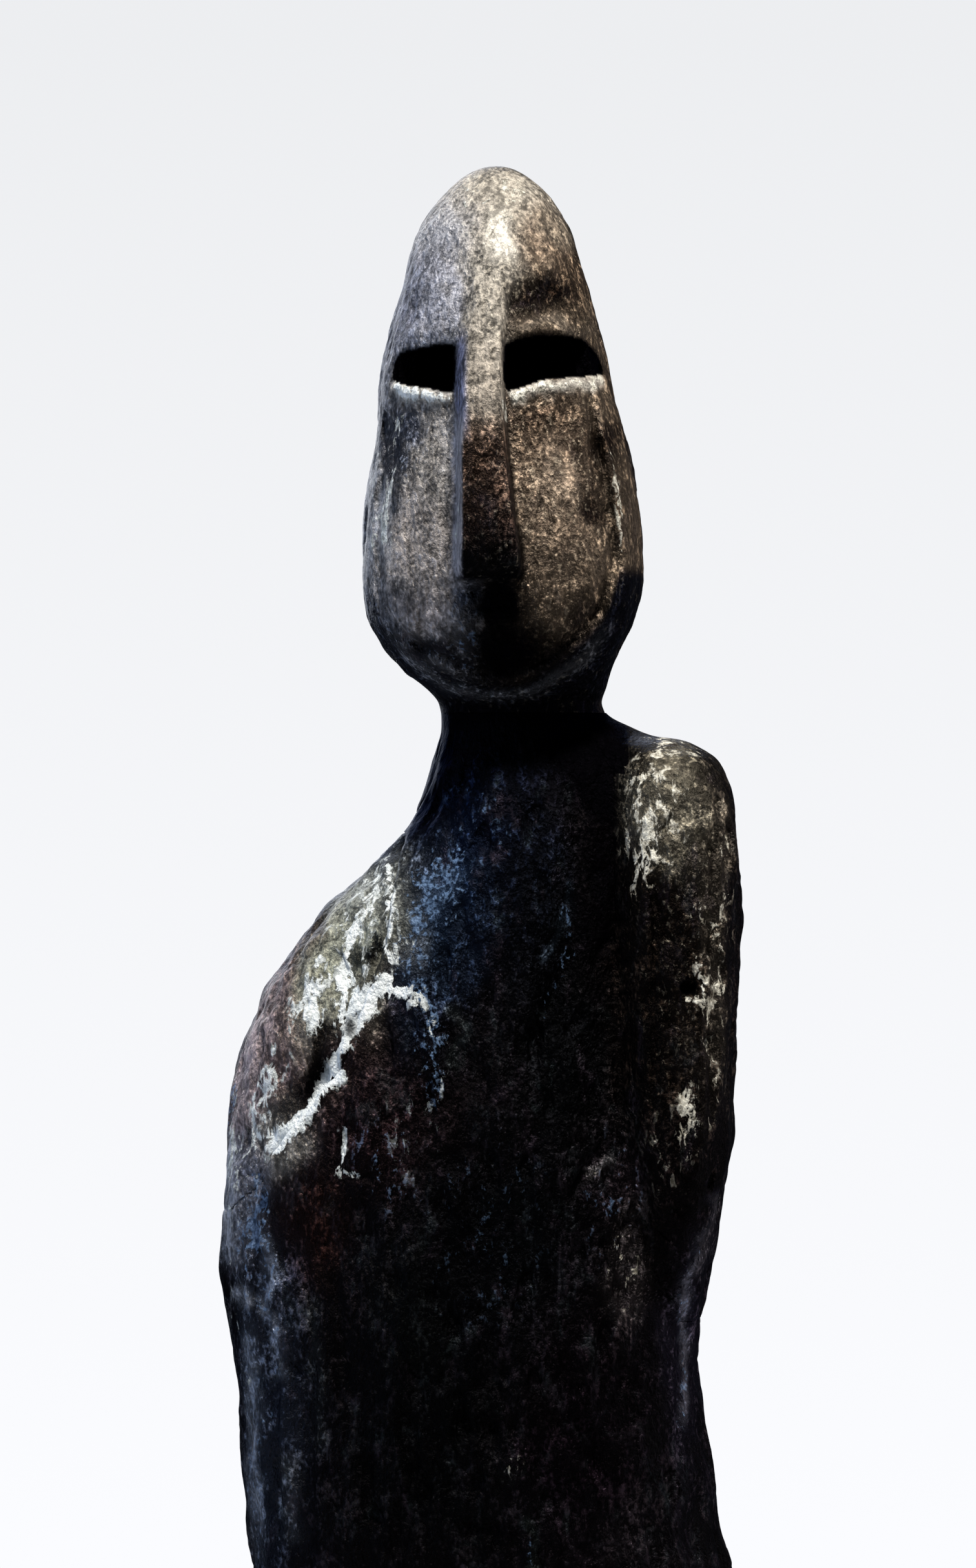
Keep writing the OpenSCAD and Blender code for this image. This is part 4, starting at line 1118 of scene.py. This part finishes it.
def make_arm(name, node, arm, columns, drops):
    """An arm's casting: the body's skin between the two seams, row by row, over a lining. The edges of
    the two are joined all round, so the piece is closed."""
    rows = len(drops)
    drop = drops[:, None]
    share = np.linspace(0, 1, columns)[None, :]
    low, high = np.interp(drop, arm[0], arm[1]), np.interp(drop, arm[0], arm[2])
    turn, drop = np.broadcast_arrays(np.radians(low + (high - low) * share), drop)
    skin = body_surface(turn, drop)
    lining = body_surface(turn, drop, sunk=ARM_WALL)
    count = rows * columns
    outer = grid_faces(rows, columns, False)
    index = np.arange(count).reshape(rows, columns)
    border = np.concatenate([index[0, :-1], index[:-1, -1], index[-1, :0:-1], index[:0:-1, 0]])
    after = np.roll(border, -1)
    sides = np.stack([border, after, after + count, border + count], 1)
    marks = {k: v.reshape(count, -1) for k, v in body_marks(*skin).items()}
    values = {k: np.concatenate([v, v]) for k, v in marks.items()}
    points = np.concatenate([placed(*skin), placed(*lining)])
    piece = make_piece(name, points, [*outer, *(outer[:, ::-1] + count), *sides], values)
    tidy_normals(piece)
    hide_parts(node)
    return piece


def make_arms():
    """Both arms. The left one has the hole of a lost core pin, whose radius wavers as it goes round."""
    top, end = LEFT_SEAM[0][0], LEFT_SEAM[-1][0]
    drops = np.append(np.linspace(top, SHOULDER_END, 60), np.linspace(SHOULDER_END, end, 190)[1:])
    left = make_arm("left_arm", "left_arm_shell", LEFT_ARM, 190, drops)
    turn = np.linspace(0, 2 * np.pi, 28, endpoint=False)
    reach = LOST_PIN_RADIUS * (1 + 0.16 * np.cos(2 * turn + 0.6) + 0.07 * np.sin(3 * turn))
    x, drop = LOST_PIN[0] + reach * np.cos(turn), LOST_PIN[1] + reach * np.sin(turn)
    cut_out(left, prism("drill", x, drop, DRILL_FRONT, DRILL_BACK))
    blacken(left, lambda px, pd: np.hypot(px - LOST_PIN[0], pd - LOST_PIN[1]) - LOST_PIN_RADIUS, 0.35)
    drops = np.linspace(RIGHT_SEAM[0][0], RIGHT_SEAM[-1][0], 150)
    right = make_arm("right_arm", "right_arm_shell", RIGHT_ARM, 260, drops)
    for arm in (left, right):
        sharpen(arm, EDGE_ANGLE)
    return left, right


# ---- pins -----------------------------------------------------------------------------------------

PIN_RADIUS, PIN_LENGTH, PIN_SIDES = 1.5, 7.0, 24
PIN_SPREAD = 6.5        # the pins' distance above and below the waist seam
FLUSH = 0.9             # how far a chased pin's end lies under the skin


def make_waist_pins():
    """Eight bronze pins through the waist's wall: a round profile with a domed outer end, carried inwards
    from just under the skin at each (turn, drop)."""
    around = np.linspace(0, 2 * np.pi, PIN_SIDES, endpoint=False)
    # (distance in from the tip, radius)
    profile = [
        (0.04, 0.7), (0.16, 1.2), (0.45, PIN_RADIUS), (PIN_LENGTH - 0.5, PIN_RADIUS), (PIN_LENGTH, 1.0)
    ]
    count, j = PIN_SIDES * len(profile), np.arange(PIN_SIDES)
    after = (j + 1) % PIN_SIDES
    base = count - PIN_SIDES
    one = [
        *grid_faces(len(profile), PIN_SIDES, True), *np.stack([0 * j + count, j, after], 1),
        *np.stack([0 * j + count + 1, base + after, base + j], 1),
    ]
    points, faces = [], []
    for degrees, drop in [
        (turn, WAIST_DROP + rise) for rise in (-PIN_SPREAD, PIN_SPREAD) for turn in (-90, 90, 0, 180)
    ]:
        turn = np.array([np.radians(degrees)])
        tip = placed(*body_surface(turn, np.array([drop])))[0]
        way = np.array([np.cos(turn[0]), np.sin(turn[0]), 0.0])
        beside = np.array([-way[1], way[0], 0.0])
        ring = np.cos(around)[:, None] * beside + np.sin(around)[:, None] * (0.0, 0.0, 1.0)
        rings = [tip - way * (FLUSH + deep) * MM + radius * MM * ring for deep, radius in profile]
        faces += [face + len(points) * (count + 2) for face in one]
        points.append(np.concatenate([*rings, [tip - way * d * MM for d in (FLUSH, FLUSH + PIN_LENGTH)]]))
    pins = make_piece("waist_pins", np.concatenate(points), faces)
    tidy_normals(pins)
    sharpen(pins, 40)
    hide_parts("waist_rivets")
    return pins


# ---- finishes -------------------------------------------------------------------------------------


class Wire:
    """A socket in a material's node tree. Arithmetic on it adds Math nodes, whichever side it is on."""

    def __init__(self, paint, socket):
        self.paint, self.socket = paint, socket

    def _math(self, operation, *values):
        return self.paint.node("ShaderNodeMath", {"operation": operation}, dict(enumerate(values)))

    def __add__(self, other):
        return self._math("ADD", self, other)

    def __sub__(self, other):
        return self._math("SUBTRACT", self, other)

    def __rsub__(self, other):
        return self._math("SUBTRACT", other, self)

    def __mul__(self, other):
        return self._math("MULTIPLY", self, other)

    __radd__ = __add__
    __rmul__ = __mul__

    def ramp(self, low, high):
        """0 below low and 1 above high, eased between them."""
        return self.paint.node(
            "ShaderNodeMapRange",
            {"interpolation_type": "SMOOTHSTEP", "clamp": True},
            {"Value": self, "From Min": low, "From Max": high},
        )


class Sheet:
    """A node tree and the means to add nodes to it."""

    def __init__(self, tree):
        self.tree = tree

    def node(self, kind, settings, inputs, output=0):
        """Adds a node: its settings first, then a value or a wire for each named or numbered socket."""
        node = self.tree.nodes.new(kind)
        for key, value in settings.items():
            setattr(node, key, value)
        for key, value in inputs.items():
            self.feed(node.inputs[key], value)
        return Wire(self, node.outputs[output])

    def feed(self, socket, value):
        """Links a wire to a socket, or sets the socket to a value."""
        if isinstance(value, Wire):
            self.tree.links.new(value.socket, socket)
        else:
            socket.default_value = value


class Paint(Sheet):
    """A material, whose patterns are placed by Object coordinates."""

    def __init__(self, name):
        self.material = bpy.data.materials.new(name)
        self.material.use_nodes = True
        super().__init__(self.material.node_tree)
        self.shader = self.tree.nodes["Principled BSDF"]
        self.place = self.node("ShaderNodeTexCoord", {}, {}, "Object")

    def mark(self, name):
        """A number that the mesh carries at each point."""
        return self.node("ShaderNodeAttribute", {"attribute_name": name}, {}, "Fac")

    def stretched(self, factors):
        """Object coordinates in millimetres, scaled along each axis."""
        return self.node("ShaderNodeMapping", {}, {"Vector": self.place, "Scale": [f / MM for f in factors]})

    def noise(self, size, detail=3.0, rough=0.55, stretch=(1, 1, 1), warp=0.0):
        """Cloudy noise about `size` mm from patch to patch."""
        shape = {"Scale": 1 / size, "Detail": detail, "Roughness": rough, "Distortion": warp}
        return self.node("ShaderNodeTexNoise", {}, {"Vector": self.stretched(stretch), **shape})

    def cells(self, size, stretch=(1, 1, 1)):
        """Distance from the middle of the nearest cell, for cells about `size` mm across."""
        place = {"Vector": self.stretched(stretch), "Scale": 1 / size}
        return self.node("ShaderNodeTexVoronoi", {}, place, "Distance")

    def blend(self, share, first, second):
        """A colour between two others."""
        first, second = (c if isinstance(c, Wire) else (*c, 1.0) for c in (first, second))
        return self.node("ShaderNodeMix", {"data_type": "RGBA"}, {0: share, 6: first, 7: second}, 2)

    def scaled(self, colour, factor):
        """A colour times a number."""
        return self.node("ShaderNodeVectorMath", {"operation": "SCALE"}, {0: colour, 3: factor})

    def lifted(self, colour, by):
        """A colour plus another."""
        return self.node("ShaderNodeVectorMath", {"operation": "ADD"}, {0: colour, 1: by})

    def relief(self, height, millimetres):
        """A bumpy normal, `millimetres` high where height is 1."""
        inputs = {"Height": height, "Strength": 1.0, "Distance": millimetres * MM}
        return self.node("ShaderNodeBump", {}, inputs, "Normal")

    def finish(self, **sockets):
        """Feeds the shader's sockets, named with underscores for spaces."""
        for name, value in sockets.items():
            socket = self.shader.inputs[name.replace("_", " ")]
            if isinstance(value, tuple):
                value = (*value, 1.0)
            self.feed(socket, value)
        return self.material


def patinated_bronze():
    """A dark patina over painted tones: stippled all over, with painted glints on pits, specks of rubbed
    metal, broken chalky residue and blue-grey crust, and painted shade in the hollows and cast shadows."""
    paint = Paint("patinated_bronze")
    residue, crust, rubbed, soot = (paint.mark(m) for m in ("residue", "crust", "rubbed", "soot"))
    tone = paint.node("ShaderNodeAttribute", {"attribute_name": "tone"}, {}, "Color")
    light = paint.mark("tone").ramp(0.02, 0.22)
    runs = paint.noise(2.4, 5, 0.62, (1, 1, 0.42), 0.5) - 0.5
    grit = paint.noise(0.85, 3, 0.6, (1, 1, 0.8)) - 0.5
    flecks = paint.noise(1.8, 5, 0.66, (1, 1, 0.6), 0.8) - 0.5
    patches = paint.noise(7.5, 5, 0.6, (1, 1, 0.6), 1.0) - 0.5
    pores = paint.cells(1.3, (1, 1, 0.8))
    cool = paint.node("ShaderNodeSeparateXYZ", {}, {"Vector": paint.place}, 0).ramp(12 * MM, -12 * MM)

    stipple = runs * 2.4 + grit * 2.8 + patches * 2.2
    chalky = paint.mark("tone").ramp(0.16, 0.34)
    even = 0.16 + chalky * 0.34 + stipple.ramp(-0.75, 1.0) * (1.8 - chalky * 0.75)
    sparse = 0.3 + stipple.ramp(0.05, 1.3) * 5.5
    colour = paint.scaled(tone, even * light + sparse * (1 - light))
    bloom = paint.noise(6.0, 5, 0.66, (1, 1, 0.55), 0.8).ramp(0.5, 0.7) * (1 - light)
    bloom = bloom * (grit + runs).ramp(-0.2, 0.15)
    film = paint.blend(patches.ramp(-0.1, 0.1), (0.017, 0.013, 0.018), (0.009, 0.013, 0.014))
    colour = paint.lifted(colour, paint.scaled(film, bloom))
    # painted glints: small bright warm spots at the pits on the lighter tones
    painted_glints = pores.ramp(0.30, 0.16) * (flecks + grit).ramp(-0.02, 0.1) * light
    colour = paint.blend(painted_glints * 0.6, colour, paint.lifted(paint.scaled(tone, 1.6), (0.10, 0.088, 0.066)))
    wear = (rubbed * 0.5 + flecks * 3.2 + grit * 2.2).ramp(0.45, 0.8) * rubbed.ramp(0.05, 0.5)
    colour = paint.blend(wear * 0.5, colour, paint.lifted(tone, (0.16, 0.145, 0.115)))
    crusted = (crust + runs * 2.2 + flecks * 2.8 + grit * 1.8).ramp(0.46, 0.80) * crust.ramp(0.02, 0.25)
    blue = paint.blend(grit.ramp(-0.15, 0.2), (0.020, 0.042, 0.088), (0.12, 0.20, 0.34))
    colour = paint.blend(crusted * 0.75, colour, blue)
    chalk = (residue + runs * 2.6 + flecks * 3.0 + patches * 1.6).ramp(0.54, 0.74) * residue.ramp(0.04, 0.25)
    white = paint.blend(cool, (0.80, 0.79, 0.71), (0.76, 0.81, 0.83))
    dusty = paint.blend(cool, (0.20, 0.185, 0.145), (0.19, 0.21, 0.20))
    thick = (grit + residue * 0.35).ramp(-0.1, 0.4)
    colour = paint.blend(chalk * 0.92, colour, paint.blend(thick, dusty, white))
    # painted shade: near black wherever the mesh marks shade, in holes, hollows and cast shadows
    colour = paint.blend(soot * 0.97, colour, (0.0009, 0.0008, 0.0012))

    height = grit * 1.0 + flecks * 1.1 + runs * 0.8 + chalk * 0.3 + crusted * 0.25
    height = height - pores.ramp(0.32, 0.0) * 0.3
    bare = (0.92 - light * 0.6) * (1 - chalk * 0.8) * (1 - crusted * 0.6)
    return paint.finish(
        Base_Color=colour,
        Metallic=bare * (1 - soot) + soot,
        Roughness=0.40 + grit * 0.3 + light * 0.1 + chalk * 0.25 + crusted * 0.2 + soot * 0.15,
        Specular_IOR_Level=0.3,
        Specular_Tint=(0.42, 0.44, 0.50),
        Normal=paint.relief(height, 0.6),
    )


def bare_bronze():
    """Sawn and filed bronze that nobody sees: warm, with a file's fine lines."""
    paint = Paint("bare_bronze")
    lines = paint.noise(0.5, 2, 0.5, (1, 0.12, 1))
    tarnish = paint.noise(6, 4, 0.6)
    colour = paint.blend(tarnish.ramp(0.4, 0.7), (0.56, 0.36, 0.17), (0.30, 0.17, 0.08))
    return paint.finish(
        Base_Color=colour, Metallic=1.0, Roughness=0.34 + lines * 0.2, Normal=paint.relief(lines, 0.03)
    )


def black_granite():
    """Honed black granite: dark crystals with grey feldspar and a few bright flakes."""
    paint = Paint("black_granite")
    crystals = paint.cells(2.2)
    small = paint.cells(0.9)
    cloud = paint.noise(3.0, 4, 0.65)
    flakes = paint.noise(0.8, 2, 0.5)
    colour = paint.blend(cloud.ramp(0.42, 0.66), (0.012, 0.0125, 0.014), (0.055, 0.057, 0.06))
    colour = paint.blend(crystals.ramp(0.3, 0.06) * 0.55, colour, (0.12, 0.122, 0.125))
    colour = paint.blend(flakes.ramp(0.66, 0.74) * 0.8, colour, (0.30, 0.30, 0.31))
    return paint.finish(
        Base_Color=colour,
        Roughness=0.30 + small.ramp(0.2, 0.5) * 0.14,
        Normal=paint.relief(cloud * 0.5 + small * 0.5, 0.02),
    )


def zinc_steel():
    """Bright zinc plating on steel, with faint spangle and turning lines."""
    paint = Paint("zinc_steel")
    spangle = paint.cells(1.4)
    turned = paint.noise(0.3, 2, 0.5, (0.2, 0.2, 1))
    colour = paint.blend(spangle.ramp(0.1, 0.6), (0.60, 0.61, 0.62), (0.50, 0.51, 0.53))
    return paint.finish(
        Base_Color=colour, Metallic=1.0, Roughness=0.26 + turned * 0.2, Normal=paint.relief(turned, 0.02)
    )


def green_felt():
    """Pressed wool: a mat of short fibres with a soft sheen."""
    paint = Paint("green_felt")
    mat = paint.noise(0.7, 4, 0.7, (1, 0.5, 1), 1.2)
    tufts = paint.noise(4, 3, 0.6)
    share = (mat * 0.7 + tufts * 0.3).ramp(0.35, 0.7)
    colour = paint.blend(share, (0.018, 0.045, 0.03), (0.05, 0.105, 0.075))
    return paint.finish(
        Base_Color=colour, Roughness=0.95, Sheen_Weight=0.35, Normal=paint.relief(mat, 0.12)
    )


def dress(piece, material):
    """Gives a piece or a CAD node one material all over."""
    piece.data.materials.clear()
    piece.data.materials.append(material)


# ---- the studio -----------------------------------------------------------------------------------


FLOOR_RADIUS, FLOOR_SIDES = 0.42, 96     # the radius is in metres


def make_floor():
    """A round pale floor that the plinth stands on."""
    turn = np.linspace(0, 2 * np.pi, FLOOR_SIDES, endpoint=False)
    rim = np.stack([FLOOR_RADIUS * np.cos(turn), FLOOR_RADIUS * np.sin(turn), 0 * turn], 1)
    floor = make_piece("floor", rim, [np.arange(FLOOR_SIDES)])
    paint = Paint("pale_floor")
    cloud = paint.noise(90, 3, 0.5)
    colour = paint.blend(cloud, (0.80, 0.81, 0.83), (0.83, 0.84, 0.855))
    dress(floor, paint.finish(Base_Color=colour, Roughness=0.75))


def add_lamp(name, place, towards, size, watts, colour):
    """A soft lamp that faces a place. Places are (x, y, drop), and its width and height are in metres."""
    lamp = bpy.data.lights.new(name, "AREA")
    lamp.shape = "RECTANGLE"
    lamp.size, lamp.size_y = size
    lamp.energy, lamp.color = watts, colour
    stand = bpy.data.objects.new(name, lamp)
    bpy.context.scene.collection.objects.link(stand)
    spot_at, aim = (placed(*p)[0] for p in (place, towards))
    stand.location = spot_at
    stand.rotation_euler = Vector(aim - spot_at).to_track_quat("-Z", "Y").to_euler()


BELOW, ABOVE = (0.965, 0.972, 1.0), (0.845, 0.855, 0.875)     # the backdrop's colours


def light_the_studio():
    """A steep warm key from over the front, a cool window low on the left, and soft lamps behind for the
    back, in front of a bright pale backdrop that sends little light of its own."""
    add_lamp("key", (110, -330, -640), (0, -20, 70), (0.10, 0.10), 16, (1.0, 0.95, 0.88))
    add_lamp("window", (-900, -120, 60), (0, 0, 140), (0.6, 0.7), 4.0, (0.66, 0.78, 1.0))
    add_lamp("side", (850, 260, 40), (0, 0, 200), (0.5, 0.8), 4.2, (1.0, 0.9, 0.8))
    add_lamp("rear", (-250, 900, -250), (0, 0, 180), (0.6, 0.8), 9.0, (0.95, 0.97, 1.0))
    world = bpy.data.worlds.new("studio")
    bpy.context.scene.world = world
    world.use_nodes = True
    world.node_tree.nodes.clear()
    sky = Sheet(world.node_tree)
    place = sky.node("ShaderNodeTexCoord", {}, {}, "Generated")
    height = sky.node("ShaderNodeSeparateXYZ", {}, {0: place}, "Z")
    share = sky.node("ShaderNodeMapRange", {}, {"Value": height, "From Min": -0.08, "From Max": 0.08})
    backdrop = sky.node("ShaderNodeValToRGB", {}, {"Fac": share}, "Color")
    for stop, colour in zip(backdrop.socket.node.color_ramp.elements, (BELOW, ABOVE)):
        stop.color = (*colour, 1.0)
    dim = sky.node("ShaderNodeBackground", {}, {"Color": (0.80, 0.88, 1.0, 1.0), "Strength": 0.04})
    bright = sky.node("ShaderNodeBackground", {}, {"Color": backdrop})
    seen = sky.node("ShaderNodeLightPath", {}, {}, "Is Camera Ray")
    mix = sky.node("ShaderNodeMixShader", {}, {0: seen, 1: dim, 2: bright})
    sky.feed(world.node_tree.nodes.new("ShaderNodeOutputWorld").inputs["Surface"], mix)


def set_camera():
    """A level camera in front of the figure. It sees 304 mm of height, from 32 mm over the crown."""
    seen, margin, distance, sensor = 303.75, 32.1, 1800.0, 36.0
    camera = bpy.data.cameras.new("camera")
    camera.sensor_width = sensor
    camera.lens = sensor * distance / seen
    stand = bpy.data.objects.new("camera", camera)
    stand.location = placed(0, -distance, seen / 2 - margin)[0]
    stand.rotation_euler = (np.pi / 2, 0, 0)
    bpy.context.scene.collection.objects.link(stand)
    bpy.context.scene.camera = stand
    bpy.context.scene.view_settings.view_transform = "Standard"


# ---- putting it together --------------------------------------------------------------------------

bronze, bare = patinated_bronze(), bare_bronze()
castings = [make_head(), make_torso(), *make_arms(), make_robe()]
for casting in castings:
    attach(casting, "root")
    dress(casting, bronze)
waist_pins = make_waist_pins()
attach(waist_pins, "root")
dress(waist_pins, bare)

finishes = {
    "patinated_bronze": bronze,
    "bare_bronze": bare,
    "granite": black_granite(),
    "zinc_steel": zinc_steel(),
    "felt": green_felt(),
}
for part in frame["record"]["subparts"]:
    dress(frame["nodes"][part["node"]], finishes[part["material_slot"]])

make_floor()
light_the_studio()
set_camera()
